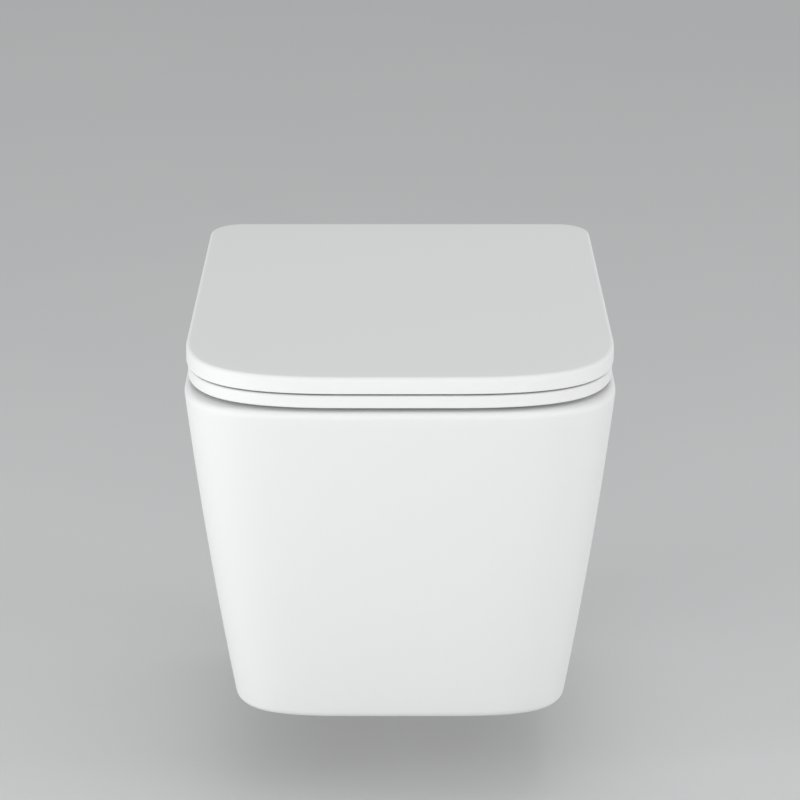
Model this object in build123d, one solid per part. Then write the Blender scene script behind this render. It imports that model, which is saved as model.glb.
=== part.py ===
from build123d import *
import math
import os

# Wall hung toilet: a shrouded rimless pan, seat and wrap-over lid on soft-close quick-release hinges.
# Origin: midway between the two wall studs, on the wall plane. +Z up, +Y into the wall, the front is at -Y.
os.makedirs("parts", exist_ok=True)

over = 1.0                  # how far a cutter runs past what it cuts

# Pan, outside
rim_z = 80.0                # top of the ceramic above the stud line
pan_height = 330.0
pan_half_front = 183.0      # half width of the rim, carried straight on to the front line
pan_half_rear = 176.5
pan_depth = 495.0
pan_front_radius = 95.0
foot_half_front = 149.5
foot_half_rear = 143.0
foot_depth = 350.0
foot_front_radius = 62.0
front_bow = 2.0             # the front line bulges this much at its middle
rim_edge_radius = 7.0
foot_edge_radius = 9.0
edge_steps = 5              # strips in each of these two roundings

# Pan, inside
shroud_wall = 10.0
deck_wall = 14.0
floor_wall = 10.0
bowl_wall = 9.0
rim_side_width = 49.0       # rim beside the mouth, at the front line
rim_front_width = 46.0      # rim in front of the mouth
mouth_rear_y = -106.0
mouth_front_flat = 30.0     # half of what the mouth's front corners leave straight
mouth_rear_flat = 74.0
mouth_bow = 0.5
mouth_edge_radius = 5.0
ledge_drop = 36.0           # flushing ledge below the rim
ledge_width = 9.0
ledge_lip_radius = 4.0
lip_steps = 3
lip_bite = 0.4              # keeps the lip's surface off the bowl's
sump_half = 36.0
sump_length = 74.0
sump_flat = 6.0             # half of what the sump's corners leave straight
bowl_steps = 6
rim_joint_drop = 50.0       # the rim casting ends this far below the rim

# Trap, waste spigot and flush inlet
trap_bore_r = 27.5
trap_wall = 8.0
trap_bend_radius = 52.5
trap_turn_gap = 6.0         # the trap starts to climb this far behind the sump
trap_reach = 38.0           # and its straight bore starts this far inside it
sump_step = 0.5             # sump floor above the bore's lowest line
waste_cone = 15.0           # length of the cone between trap and spigot
waste_z = -100.0
spigot_r = 51.0
spigot_bore_r = 42.0
spigot_rear_gap = 12.0      # spigot and inlet stop short of the wall
spigot_length = 46.0
inlet_z = 35.0
inlet_bore_r = 27.5
inlet_wall = 8.0
inlet_front_wall = 9.0      # between the inlet's bore and the mouth's wall
slot_height = 15.0
slot_reach = 5.0            # the slot runs this far into the inlet's bore
slot_lift = 0.5             # slot floor above the ledge

# Wall fixing
stud_spacing = 180.0
stud_hole_r = 6.5
bracket_plate = 5.0
bracket_half = 22.0
bracket_arm_thick = 12.0
bracket_arm_in_x = 110.0
bracket_arm_reach = 62.0
bracket_arm_half = 18.0
bracket_arm_corner = 9.0
side_hole_y = -42.0
side_hole_z = 0.0
side_hole_r = 10.0
side_boss_r = 16.0
side_boss_depth = 9.0
sleeve_gap = 0.1
sleeve_bore_r = 7.0
sleeve_lip_r = 13.0
sleeve_lip = 2.0
lock_screw_r = 4.0
lock_head_r = 6.5
lock_head = 8.0
lock_head_inset = 8.0       # head below the outer face of the pan
lock_socket_af = 6.0
lock_socket_depth = 4.5
lock_screw_end = 2.0        # what shows of the screw behind the arm
thread_gap = 0.05
cap_r = 13.0
cap_thick = 2.2
cap_gap = 0.05
cap_dome = 1.3
cap_plug_r = 6.8
cap_plug = 5.0
cap_plug_wall = 1.2

# Flush inlet seal
seal_bore_r = 22.5
seal_depth = 34.0
seal_flange_r = 31.0
seal_flange = 4.0
seal_groove = 1.2
seal_groove_width = 4.0

# Flush diverter
diverter_half = 52.0
diverter_wall = 2.5
diverter_edge = 1.0
diverter_height = 20.0
diverter_stand_off = 11.0   # in front of the mouth's rear wall
diverter_sag = 7.0
diverter_rib_half = 5.0
diverter_rib_depth = 26.0

# Hinge line
axis_y = -40.0
axis_lift = 18.0            # above the rim
barrel_r = 7.5
seat_hole_spacing = 155.0
seat_hole_r = 7.5
peg_offset = 25.0           # seat holes in front of the hinge line

# Hinge blocks
block_half = 12.0
block_front = 37.0          # reach in front of the hinge line
block_foot_rear = 14.6
block_top_front = 2.0       # top of the block above the hinge line, at its front
block_arm_under = 6.0       # underside of the arm below the hinge line
block_nose = 4.0            # slanted corner at the block's front
block_chamfer = 0.8
rosette_r = 22.0
rosette_thick = 2.0
rosette_chamfer = 0.8

# Pegs and deck fixings
peg_r = 5.0
peg_height = 16.0           # above the rim
peg_bore_gap = 0.1
peg_top_gap = 0.3
peg_chamfer = 1.0
peg_groove_r = 3.5
peg_groove_low = 6.8
peg_groove_high = 11.6
peg_socket_af = 5.0
peg_socket_depth = 3.0
shank_r = 4.0
shank_length = 36.0
bush_length = 26.0
bush_gap = 0.2
bush_bulge = 1.3
bush_deck_gap = 0.3         # between the deck's underside and the bulge
nut_length = 9.0
nut_top_r = 5.2
nut_r = 6.6
nut_taper = 2.0

# Release buttons
button_travel = 2.5
button_half = 10.5
button_low = 5.5
button_high = 13.0
button_proud = 3.0
button_thick = 5.0
button_gap = 0.2
button_edge = 1.2
slider_half = 7.0
slider_low = 7.1
slider_high = 11.3
slider_window_half = 5.3
slider_rear = 18.2
slider_end_gap = 0.4        # left at each end of the slider's travel
slider_root = 1.0           # slider let into the button's head
latch_gap = 0.1
spring_r = 1.7
spring_wire = 0.4
spring_turns = 7
spring_x = 8.9
spring_pocket_r = 2.1
spring_seat = 24.0

# Pivots
lug_gap = 2.0               # between block and lug
lug_length = 38.0
insert_r = 5.5
insert_gap = 0.05
insert_flange_r = 6.8
insert_flange = 1.0
insert_end_gap = 1.0
pin_r = 3.0
pin_running_gap = 0.05
pin_fit_gap = 0.02
pin_in_block = 10.0
pin_in_lug = 30.0
pin_end_gap = 2.0
pin_chamfer = 0.4
pin_flat = 0.6

# Seat
seat_lift = 3.0             # gap between ceramic and seat
seat_thick = 11.0
seat_inset = 3.0            # seat inside the ceramic's outline at the sides and corners
seat_front_inset = 8.8
seat_side_rear = 10.5       # rear edge in front of the hinge line, at the sides
seat_mid_rear = 4.0         # the same between the hinges
seat_rear_radius = 14.0
seat_notch_gap = 2.0
seat_notch_front = 4.0
seat_side_cover = 22.0      # seat over the mouth at the sides
seat_front_cover = 41.0
seat_rear_cover = 28.0
seat_open_front_flat = 16.0
seat_open_rear_flat = 42.0
seat_open_bow = 0.5
seat_top_edge = 2.5
seat_low_edge = 1.5
seat_open_edge = 4.5
seat_web_reach = 11.0       # how far the hinge lugs run forward onto the seat
seat_web_bite = 1.0         # and down into it
seat_web_rise = 1.0         # top of the web above the hinge line
seat_web_inset = 0.1        # web behind the barrel's front
seat_web_foot = 1.2         # rear foot of the web above the barrel's underside

# Lid
lid_gap = 2.0               # between seat and lid edge
lid_edge = 14.0             # height of the lid's edge
lid_top_wall = 3.5
lid_side_wall = 4.0
lid_inset = 1.8             # lid inside the ceramic's outline at the sides
lid_corner_inset = 1.0
lid_front_inset = 3.8
lid_behind_axis = 13.5
lid_rear_radius = 29.0
lid_top_edge = 3.0
lid_notch_gap = 2.5
lid_web_half = 6.0

# Buffers
pad_length = 32.0
pad_width = 12.0
pad_recess = 1.2
pad_front_x = 64.0
pad_front_inset = 27.0      # pads in from the ceramic's front and rear line
pad_side_inset = 21.5
pad_rear_y = -128.0
lid_pad_r = 6.0
lid_pad_height = 4.0
lid_boss_r = 8.0
lid_pad_x = 92.0
lid_pad_front_inset = 43.0
lid_pad_rear_y = -104.0

# Worked-out places
floor_z = rim_z - pan_height
ledge_z = rim_z - ledge_drop
deck_under_z = rim_z - deck_wall
mouth_half = pan_half_front - rim_side_width
mouth_front_y = rim_front_width - pan_depth
mouth_front_radius = mouth_half - mouth_front_flat
mouth_rear_radius = mouth_half - mouth_rear_flat
spigot_end_y = -spigot_rear_gap
spigot_root_y = spigot_end_y - spigot_length
trap_end_y = spigot_root_y - waste_cone
trap_turn_y = trap_end_y - 2 * trap_bend_radius
trap_low_z = waste_z - 2 * trap_bend_radius
trap_r = trap_bore_r + trap_wall
sump_rear_y = trap_turn_y - trap_turn_gap
sump_front_y = sump_rear_y - sump_length
sump_radius = sump_half - sump_flat
sump_z = trap_low_z - trap_bore_r + sump_step
trap_start_y = sump_rear_y - trap_reach
inlet_r = inlet_bore_r + inlet_wall
inlet_end_y = -spigot_rear_gap
inlet_root_y = mouth_rear_y + bowl_wall + inlet_front_wall
axis_z = rim_z + axis_lift
peg_x = seat_hole_spacing / 2
peg_y = axis_y - peg_offset
seat_z = rim_z + seat_lift
seat_top_z = seat_z + seat_thick
seat_open_half = mouth_half - seat_side_cover
seat_open_front_y = mouth_front_y + seat_front_cover
seat_open_rear_y = mouth_rear_y - seat_rear_cover
pad_front_y = pad_front_inset - pan_depth
pad_rear_x = pan_half_rear - pad_side_inset
lid_z = seat_top_z + lid_gap
lid_top_z = lid_z + lid_edge
lid_ceiling_z = lid_top_z - lid_top_wall
lid_rear_y = axis_y + lid_behind_axis
lid_front_y = lid_front_inset - pan_depth
lid_pad_front_y = lid_pad_front_inset - pan_depth
rosette_top_z = rim_z + rosette_thick
stud_x = stud_spacing / 2
sides = {"left": -1, "right": 1}


def d_plan(half_front, half_rear, rear_y, front_y, bow, front_radius, rear_radius, z):
    """D-shaped plan: straight rear, sides and slightly bowed front, with round corners, lying at height z."""
    shoulder_y = front_y + bow
    rear_left = (-half_rear, rear_y)
    rear_right = (half_rear, rear_y)
    front_right = (half_front, shoulder_y)
    front_left = (-half_front, shoulder_y)
    outline = [
        Line(rear_left, rear_right),
        Line(rear_right, front_right),
        ThreePointArc(front_right, (0, front_y), front_left),
        Line(front_left, rear_left),
    ]
    plan = make_face(outline)
    plan = fillet(plan.vertices().sort_by(Axis.Y)[:2], front_radius)
    if rear_radius > 0:
        plan = fillet(plan.vertices().sort_by(Axis.Y)[-2:], rear_radius)
    return Pos(0, 0, z) * plan


def block(x0, x1, y0, y1, z0, z1):
    """A box given by its two corners."""
    centre = ((x0 + x1) / 2, (y0 + y1) / 2, (z0 + z1) / 2)
    return Pos(*centre) * Box(abs(x1 - x0), abs(y1 - y0), abs(z1 - z0))


def rod_x(radius, x0, x1, y, z):
    """A round bar along X."""
    return Pos((x0 + x1) / 2, y, z) * Rot(0, 90, 0) * Cylinder(radius, abs(x1 - x0))


def rod_y(radius, y0, y1, x, z):
    """A round bar along Y."""
    return Pos(x, (y0 + y1) / 2, z) * Rot(90, 0, 0) * Cylinder(radius, abs(y1 - y0))


def rod_z(radius, z0, z1, x, y):
    """A round bar along Z."""
    return Pos(x, y, (z0 + z1) / 2) * Cylinder(radius, abs(z1 - z0))


def prism_x(points, x0, x1):
    """A solid with a profile given as (y, z) points, from x0 to x1."""
    profile = Plane.YZ.offset(min(x0, x1)) * make_face(Polyline(*points, close=True))
    return extrude(profile, abs(x1 - x0))


def save(part, name):
    """Write one piece, or one group of like pieces, under its node name."""
    solids = part.solids()
    whole = solids[0] if len(solids) == 1 else Compound(children=list(solids))
    export_step(whole, os.path.join("parts", name + ".step"))


# Shroud: the outer form of the pan, ruled from rim to foot
def shroud_plan(z, inset, rear_y):
    """Plan of the shroud at height z, drawn in by inset."""
    down = (rim_z - z) / pan_height
    half_front = pan_half_front + (foot_half_front - pan_half_front) * down
    half_rear = pan_half_rear + (foot_half_rear - pan_half_rear) * down
    depth = pan_depth + (foot_depth - pan_depth) * down
    radius = pan_front_radius + (foot_front_radius - pan_front_radius) * down
    return d_plan(
        half_front - inset, half_rear - inset, rear_y, inset - depth, front_bow, radius - inset, 0, z
    )


def shroud_body():
    """The pan's outside: rounded foot, straight flanks and rounded rim, each rounding in ruled strips."""
    turns = [math.radians(90 * step / edge_steps) for step in range(edge_steps + 1)]
    foot = [
        shroud_plan(
            floor_z + foot_edge_radius * (1 - math.cos(turn)), foot_edge_radius * (1 - math.sin(turn)), 0
        )
        for turn in turns
    ]
    rim = [
        shroud_plan(
            rim_z - rim_edge_radius * (1 - math.sin(turn)), rim_edge_radius * (1 - math.cos(turn)), 0
        )
        for turn in turns
    ]
    return loft(foot + rim, ruled=True)


def shroud_half(y, z):
    """Half width of the shroud's side at a place near the wall."""
    down = (rim_z - z) / pan_height
    half_front = pan_half_front + (foot_half_front - pan_half_front) * down
    half_rear = pan_half_rear + (foot_half_rear - pan_half_rear) * down
    depth = pan_depth + (foot_depth - pan_depth) * down
    return half_rear + (half_front - half_rear) * -y / depth


def bowl_plan(z, grow):
    """Plan of the bowl at height z: an S-shaped change from the ledge to the sump, grown by the wall."""
    up = min(max((z - sump_z) / (ledge_z - sump_z), 0.0), 1.0)
    share = up * up * (3 - 2 * up)
    half = sump_half + (mouth_half - ledge_width - sump_half) * share + grow
    front_y = sump_front_y + (mouth_front_y + ledge_width - sump_front_y) * share - grow
    rear_y = sump_rear_y + (mouth_rear_y - ledge_width - sump_rear_y) * share + grow
    front_radius = sump_radius + (mouth_front_radius - ledge_width - sump_radius) * share + grow
    rear_radius = sump_radius + (mouth_rear_radius - ledge_width - sump_radius) * share + grow
    return d_plan(half, half, rear_y, front_y, mouth_bow, front_radius, rear_radius, z)


def bowl_body(low_z, high_z, grow):
    """The bowl's form between two heights."""
    heights = [low_z + (high_z - low_z) * step / bowl_steps for step in range(bowl_steps + 1)]
    return loft([bowl_plan(z, grow) for z in heights])


def trap_path():
    """Centre line of the trap: back from the sump, up and back again to the waste spigot."""
    mid_z = waste_z - trap_bend_radius
    mid_y = trap_turn_y + trap_bend_radius
    half_turn = trap_bend_radius * math.sqrt(0.5)
    climb = ThreePointArc(
        (0, trap_turn_y, trap_low_z),
        (0, trap_turn_y + half_turn, mid_z - half_turn),
        (0, mid_y, mid_z),
    )
    level = ThreePointArc(
        (0, mid_y, mid_z),
        (0, trap_end_y - half_turn, mid_z + half_turn),
        (0, trap_end_y, waste_z),
    )
    return Wire([Line((0, trap_start_y, trap_low_z), (0, trap_turn_y, trap_low_z)), climb, level])


def trap_tube(radius):
    """A round tube body along the trap's centre line."""
    start = Plane(origin=(0, trap_start_y, trap_low_z), z_dir=(0, 1, 0))
    return sweep(start * Circle(radius), path=trap_path())


def waste_run(radius_front, radius_rear, end_y):
    """From the trap's end: a cone that widens to the spigot, then a cylinder to end_y."""
    flank = Polyline(
        (0, trap_end_y),
        (radius_front, trap_end_y),
        (radius_rear, spigot_root_y),
        (radius_rear, end_y),
        (0, end_y),
        close=True,
    )
    return Pos(0, 0, waste_z) * revolve(make_face(flank), Axis.Y)


# Side fixing: everything lies on a line square to the slanted side of the pan
def side_line(side):
    """Plane on the outer face of the pan at the side hole, its z axis pointing outwards."""
    half = shroud_half(side_hole_y, side_hole_z)
    slope_y = shroud_half(side_hole_y + 1, side_hole_z) - half
    slope_z = shroud_half(side_hole_y, side_hole_z + 1) - half
    return Plane(
        origin=(side * half, side_hole_y, side_hole_z),
        x_dir=(0, 1, 0),
        z_dir=(side, -slope_y, -slope_z),
    )


def on_side_line(side, radius, inner, outer):
    """A round bar on the side line, between two depths counted outwards from the pan's face."""
    return side_line(side) * Pos(0, 0, (inner + outer) / 2) * Cylinder(radius, outer - inner)


def make_ceramic():
    """The whole ceramic body: shroud, rimless bowl, trap, spigot and inlet in one."""
    outer = shroud_body()
    # hollow between shroud and bowl, open at the wall
    hollow = loft(
        [shroud_plan(deck_under_z, shroud_wall, over), shroud_plan(floor_z + floor_wall, shroud_wall, over)],
        ruled=True,
    )
    mouth_wall = extrude(Pos(0, 0, -bowl_wall) * mouth_plan(bowl_wall), ledge_drop + bowl_wall)
    bowl_outside = bowl_body(sump_z, ledge_z, bowl_wall)
    bowl_outside += extrude(bowl_plan(floor_z, bowl_wall), sump_z - floor_z)
    waste_outside = trap_tube(trap_r) + waste_run(trap_r, spigot_r, spigot_end_y)
    inlet = rod_y(inlet_r, mouth_rear_y - ledge_width - over, inlet_end_y, 0, inlet_z)
    inlet += block(-inlet_r, inlet_r, mouth_rear_y, inlet_end_y, inlet_z, deck_under_z)
    hollow = hollow - bowl_outside - mouth_wall - waste_outside - inlet
    for side in sides.values():
        hollow = hollow - on_side_line(side, side_boss_r, -shroud_wall - side_boss_depth, -over)
    body = outer - hollow

    # mouth with its flushing ledge, then the bowl below
    body = body - extrude(mouth_plan(0), ledge_drop + over)
    mouth_edges = [e for e in body.edges().group_by(Axis.Z)[-1] if in_mouth(e.center())]
    body = fillet(mouth_edges, mouth_edge_radius)
    body = body - ledge_lip()
    body = body - bowl_body(sump_z, ledge_z, 0)

    # waterways and holes
    body = body - (trap_tube(trap_bore_r) + waste_run(trap_bore_r, spigot_bore_r, 0))
    body = body - rod_y(inlet_bore_r, inlet_root_y, 0, 0, inlet_z)
    slot_z = ledge_z + slot_lift
    slot_rear_y = inlet_root_y + slot_reach
    body = body - block(
        -inlet_bore_r, inlet_bore_r, mouth_rear_y - over, slot_rear_y, slot_z, slot_z + slot_height
    )
    for side in sides.values():
        body = body - rod_z(seat_hole_r, deck_under_z - over, rim_z + over, side * peg_x, peg_y)
        body = body - on_side_line(side, side_hole_r, -shroud_wall - side_boss_depth - over, over)
    return body


def pan_castings():
    """The ceramic body in its cast parts: rim, inlet neck, skirt, bowl with trap and spigot, and foot."""
    body = make_ceramic()
    neck_front_y = mouth_rear_y + bowl_wall
    neck_room = block(
        -inlet_r - over, inlet_r + over, neck_front_y, over, inlet_z - inlet_r - over, deck_under_z
    )
    neck = body & neck_room
    body = body - neck_room
    wide = pan_half_front + over
    deep = pan_depth + front_bow + over
    joint_z = rim_z - rim_joint_drop
    foot_top_z = floor_z + floor_wall
    rim = body & block(-wide, wide, -deep, over, joint_z, rim_z + over)
    foot = body & block(-wide, wide, -deep, over, floor_z - over, foot_top_z)
    walls = body & block(-wide, wide, -deep, over, foot_top_z, joint_z)
    bowl, skirt = sorted(walls.solids(), key=lambda solid: solid.bounding_box().size.X)
    return {"pan_rim": rim, "pan_inlet": neck, "pan_skirt": skirt, "pan_bowl": bowl, "pan_foot": foot}


def mouth_plan(grow):
    """Plan of the upright opening at ledge height, grown by a wall."""
    return d_plan(
        mouth_half + grow,
        mouth_half + grow,
        mouth_rear_y + grow,
        mouth_front_y - grow,
        mouth_bow,
        mouth_front_radius + grow,
        mouth_rear_radius + grow,
        ledge_z,
    )


def in_mouth(place):
    """Whether an edge of the rim's top lies round the mouth."""
    return abs(place.X) < mouth_half + over and mouth_front_y - over < place.Y < mouth_rear_y + over


def ledge_lip():
    """What rounds the ledge's inner edge off: a quarter circle in a few ruled strips."""
    plans = []
    for step in range(lip_steps + 1):
        turn = math.radians(90 * step / lip_steps)
        rise = ledge_lip_radius * (1 - math.sin(turn))
        plans.append(bowl_plan(ledge_z - rise, ledge_lip_radius * (1 - math.cos(turn)) - lip_bite))
    plans.append(bowl_plan(ledge_z + over, ledge_lip_radius - lip_bite))
    return loft(plans, ruled=True)


def hexagon(across_flats, depth, z_top):
    """A hexagonal bar that ends at z_top, for sockets."""
    bar = extrude(RegularPolygon(across_flats / math.sqrt(3), 6), depth + over)
    return Pos(0, 0, z_top - depth) * bar


def wall_bracket(side):
    """Steel angle on the wall stud: a plate with the stud hole and an arm that takes the locking screw."""
    outer_x = bracket_arm_in_x + bracket_arm_thick
    inner_x = stud_x - bracket_half
    plate = block(side * inner_x, side * outer_x, -bracket_plate, 0, -bracket_half, bracket_half)
    arm = block(
        side * bracket_arm_in_x, side * outer_x, -bracket_arm_reach, 0, -bracket_arm_half, bracket_arm_half
    )
    arm_ends = [e for e in arm.edges().filter_by(Axis.X) if e.center().Y < -bracket_plate]
    bracket = plate + fillet(arm_ends, bracket_arm_corner)
    bracket = bracket - rod_y(stud_hole_r, -bracket_plate - over, over, side * stud_x, 0)
    return bracket - on_side_line(side, lock_screw_r + thread_gap, -pan_half_rear, 0)


def side_sleeve(side):
    """Plastic sleeve in the side hole, with a lip behind the ceramic boss."""
    inner = -shroud_wall - side_boss_depth
    sleeve = on_side_line(side, side_hole_r - sleeve_gap, inner - sleeve_lip, 0)
    sleeve += on_side_line(side, sleeve_lip_r, inner - sleeve_lip, inner)
    return sleeve - on_side_line(side, sleeve_bore_r, inner - sleeve_lip - over, over)


def locking_screw(side):
    """Socket screw that goes through the sleeve into the bracket's arm."""
    head_top = -lock_head_inset
    head_low = head_top - lock_head
    arm_x = bracket_arm_in_x - shroud_half(side_hole_y, side_hole_z)
    screw = on_side_line(side, lock_head_r, head_low, head_top)
    screw += on_side_line(side, lock_screw_r, arm_x - lock_screw_end, head_low)
    return screw - side_line(side) * hexagon(lock_socket_af, lock_socket_depth, head_top)


def cover_cap(side):
    """Domed cap that closes the side hole."""
    cap = on_side_line(side, cap_r, cap_gap, cap_thick)
    face = cap.faces().sort_by(Axis.X)[-1 if side > 0 else 0]
    cap = fillet(face.edges(), cap_dome)
    plug = on_side_line(side, cap_plug_r, -cap_plug, cap_gap)
    return cap + (plug - on_side_line(side, cap_plug_r - cap_plug_wall, -cap_plug - over, 0))


def flush_inlet_seal():
    """Rubber collar in the flush inlet, with two sealing lips cut round it and a flange at the wall side."""
    front_y = inlet_end_y - seal_depth
    seal = rod_y(inlet_bore_r, front_y, inlet_end_y, 0, inlet_z)
    seal += rod_y(seal_flange_r, inlet_end_y, inlet_end_y + seal_flange, 0, inlet_z)
    for step in (1, 3):
        y = front_y + step * seal_depth / 5
        ring = rod_y(inlet_bore_r + over, y, y + seal_groove_width, 0, inlet_z)
        seal = seal - (ring - rod_y(inlet_bore_r - seal_groove, y, y + seal_groove_width, 0, inlet_z))
    return seal - rod_y(seal_bore_r, front_y - over, 0, 0, inlet_z)


def flush_diverter():
    """Bowed plate in front of the flushing slot, on a rib that stands in the slot."""
    low = ledge_z + slot_lift
    face_y = mouth_rear_y - diverter_stand_off
    bow = [(-diverter_half, face_y + diverter_sag), (0, face_y), (diverter_half, face_y + diverter_sag)]
    outer_arc = ThreePointArc(*bow)
    inner_arc = ThreePointArc(*[(x, y + diverter_wall) for x, y in reversed(bow)])
    ends = [Line(outer_arc @ 1, inner_arc @ 0), Line(inner_arc @ 1, outer_arc @ 0)]
    plate = extrude(Pos(0, 0, low) * make_face([outer_arc, ends[0], inner_arc, ends[1]]), diverter_height)
    upright = plate.edges().filter_by(Axis.Z)
    plate = fillet(upright, diverter_edge)
    rib = block(
        -diverter_rib_half,
        diverter_rib_half,
        face_y + diverter_wall / 2,
        mouth_rear_y - diverter_stand_off + diverter_rib_depth,
        low,
        low + slot_height,
    )
    return plate + rib


# Hinges
def hinge_block(side):
    """Cantilevered hinge body: a foot over the peg and an arm back to the hinge line."""
    x0 = side * (peg_x - block_half)
    x1 = side * (peg_x + block_half)
    foot_z = rosette_top_z
    under_z = axis_z - block_arm_under
    front_y = axis_y - block_front
    rear_y = axis_y - block_foot_rear
    profile = [
        (axis_y, axis_z + barrel_r),
        (front_y + block_nose, axis_z + block_top_front),
        (front_y, axis_z + block_top_front - block_nose),
        (front_y, foot_z),
        (rear_y, foot_z),
        (rear_y, under_z),
        (axis_y, axis_z - barrel_r),
    ]
    body = prism_x(profile, x0, x1) + rod_x(barrel_r, x0, x1, axis_y, axis_z)
    front_edges = body.edges().filter_by(Axis.X).group_by(Axis.Y)[0]
    body = chamfer(front_edges, block_chamfer)
    # bore for the peg, guide for the slider, pocket for the button and its spring
    bore_top = rim_z + peg_height + peg_top_gap
    body = body - rod_z(peg_r + peg_bore_gap, foot_z - over, bore_top, side * peg_x, peg_y)
    gap = button_gap
    slider_end = axis_y - slider_rear + button_travel + slider_end_gap
    body = body - block(
        side * peg_x - slider_half - gap,
        side * peg_x + slider_half + gap,
        front_y,
        slider_end,
        rim_z + slider_low - gap,
        rim_z + slider_high + gap,
    )
    pocket_floor = front_y - button_proud + button_thick + button_travel + gap
    body = body - block(
        side * peg_x - button_half - gap,
        side * peg_x + button_half + gap,
        front_y - over,
        pocket_floor,
        rim_z + button_low - gap,
        rim_z + button_high + gap,
    )
    spring_z = rim_z + (button_low + button_high) / 2
    body = body - rod_y(
        spring_pocket_r, pocket_floor - over, axis_y - spring_seat, side * (peg_x + spring_x), spring_z
    )
    for face in (x0, x1):
        depth = pin_in_block if face == x0 else -pin_in_block
        body = body - rod_x(pin_r + pin_fit_gap, face, face + side * depth, axis_y, axis_z)
    return body


def rosette(side):
    """Round steel plate between hinge block and ceramic."""
    plate = rod_z(rosette_r, rim_z, rosette_top_z, side * peg_x, peg_y)
    plate = chamfer(plate.edges().group_by(Axis.Z)[-1], rosette_chamfer)
    return plate - rod_z(shank_r + thread_gap, rim_z - over, rosette_top_z + over, side * peg_x, peg_y)


def mounting_peg(side):
    """Steel peg with the latch groove, a key socket on top and the long shank that pulls the bush tight."""
    top = rim_z + peg_height
    peg = rod_z(peg_r, rosette_top_z, top, 0, 0)
    peg = chamfer(peg.edges().group_by(Axis.Z)[-1], peg_chamfer)
    groove = rod_z(peg_r + over, rim_z + peg_groove_low, rim_z + peg_groove_high, 0, 0)
    groove = groove - rod_z(peg_groove_r, rim_z, top, 0, 0)
    peg = peg - groove - hexagon(peg_socket_af, peg_socket_depth, top)
    peg += rod_z(shank_r, rim_z - shank_length, rosette_top_z, 0, 0)
    return Pos(side * peg_x, peg_y, 0) * peg


def expanding_bush(side):
    """Rubber bush in the seat hole, bulged below the deck by the nut."""
    low = rim_z - bush_length
    radius = seat_hole_r - bush_gap
    bulge_top = deck_under_z - bush_deck_gap
    bulge_mid = (bulge_top + low) / 2
    outline = [
        Line((0, rim_z), (0, low)),
        Line((0, low), (radius, low)),
        ThreePointArc((radius, low), (radius + bush_bulge, bulge_mid), (radius, bulge_top)),
        Line((radius, bulge_top), (radius, rim_z)),
        Line((radius, rim_z), (0, rim_z)),
    ]
    profile = Plane.XZ * make_face(outline)
    bush = revolve(profile, Axis.Z)
    bush = bush - rod_z(shank_r + thread_gap, low - over, rim_z + over, 0, 0)
    return Pos(side * peg_x, peg_y, 0) * bush


def cone_nut(side):
    """Tapered nut at the end of the shank, which squeezes the bush from below."""
    high = rim_z - bush_length
    low = high - nut_length
    flank = [(0, high), (nut_top_r, high), (nut_r, high - nut_taper), (nut_r, low), (0, low)]
    nut = revolve(Plane.XZ * make_face(Polyline(*flank, close=True)), Axis.Z)
    nut = nut - rod_z(shank_r + thread_gap, low - over, high + over, 0, 0)
    return Pos(side * peg_x, peg_y, 0) * nut


def release_button(side):
    """Push button with its latch slider: the slider's window has the peg's groove in it."""
    x = side * peg_x
    head_y = axis_y - block_front - button_proud
    head = block(
        x - button_half,
        x + button_half,
        head_y,
        head_y + button_thick,
        rim_z + button_low,
        rim_z + button_high,
    )
    front_edges = head.faces().sort_by(Axis.Y)[0].edges()
    head = fillet(front_edges, button_edge)
    slider = block(
        x - slider_half,
        x + slider_half,
        head_y + button_thick - slider_root,
        axis_y - slider_rear,
        rim_z + slider_low,
        rim_z + slider_high,
    )
    latch_y = peg_y + peg_groove_r + latch_gap
    window_y = peg_y - peg_r - button_travel - slider_end_gap
    slider = slider - block(
        x - slider_window_half,
        x + slider_window_half,
        window_y,
        latch_y,
        rim_z + slider_low - over,
        rim_z + slider_high + over,
    )
    return head + slider


def release_spring(side):
    """Compression spring that pushes the button out."""
    front_y = axis_y - block_front - button_proud + button_thick
    length = block_front + button_proud - button_thick - spring_seat
    spring_z = rim_z + (button_low + button_high) / 2
    inset = spring_wire
    coil_length = length - 2 * inset
    path = Helix(coil_length / spring_turns, coil_length, spring_r - spring_wire / 2)
    start = Plane(origin=path @ 0, z_dir=path % 0)
    coil = sweep(start * Circle(spring_wire / 2), path=path)
    place = Plane(origin=(side * (peg_x + spring_x), front_y + inset, spring_z), z_dir=(0, 1, 0))
    return place * coil


# Pivots: an insert in each lug of seat and lid, and a pin from the block into the insert
def lug_end(side, outward):
    """X of a lug's end face beside the block; outward is -1 for the seat's inner lugs, 1 for the lid's."""
    return side * (peg_x + outward * (block_half + lug_gap))


def lug_insert(side, outward, pin_depth):
    """Round insert in a lug's bore, with a thin flange on the lug's end face."""
    end = lug_end(side, outward)
    away = side * outward
    insert = rod_x(insert_r, end, end + away * (lug_length - insert_end_gap), axis_y, axis_z)
    insert += rod_x(insert_flange_r, end - away * insert_flange, end, axis_y, axis_z)
    mouth = end - away * (insert_flange + over)
    bore = rod_x(pin_r + pin_running_gap, mouth, end + away * pin_depth, axis_y, axis_z)
    return insert - bore


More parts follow.
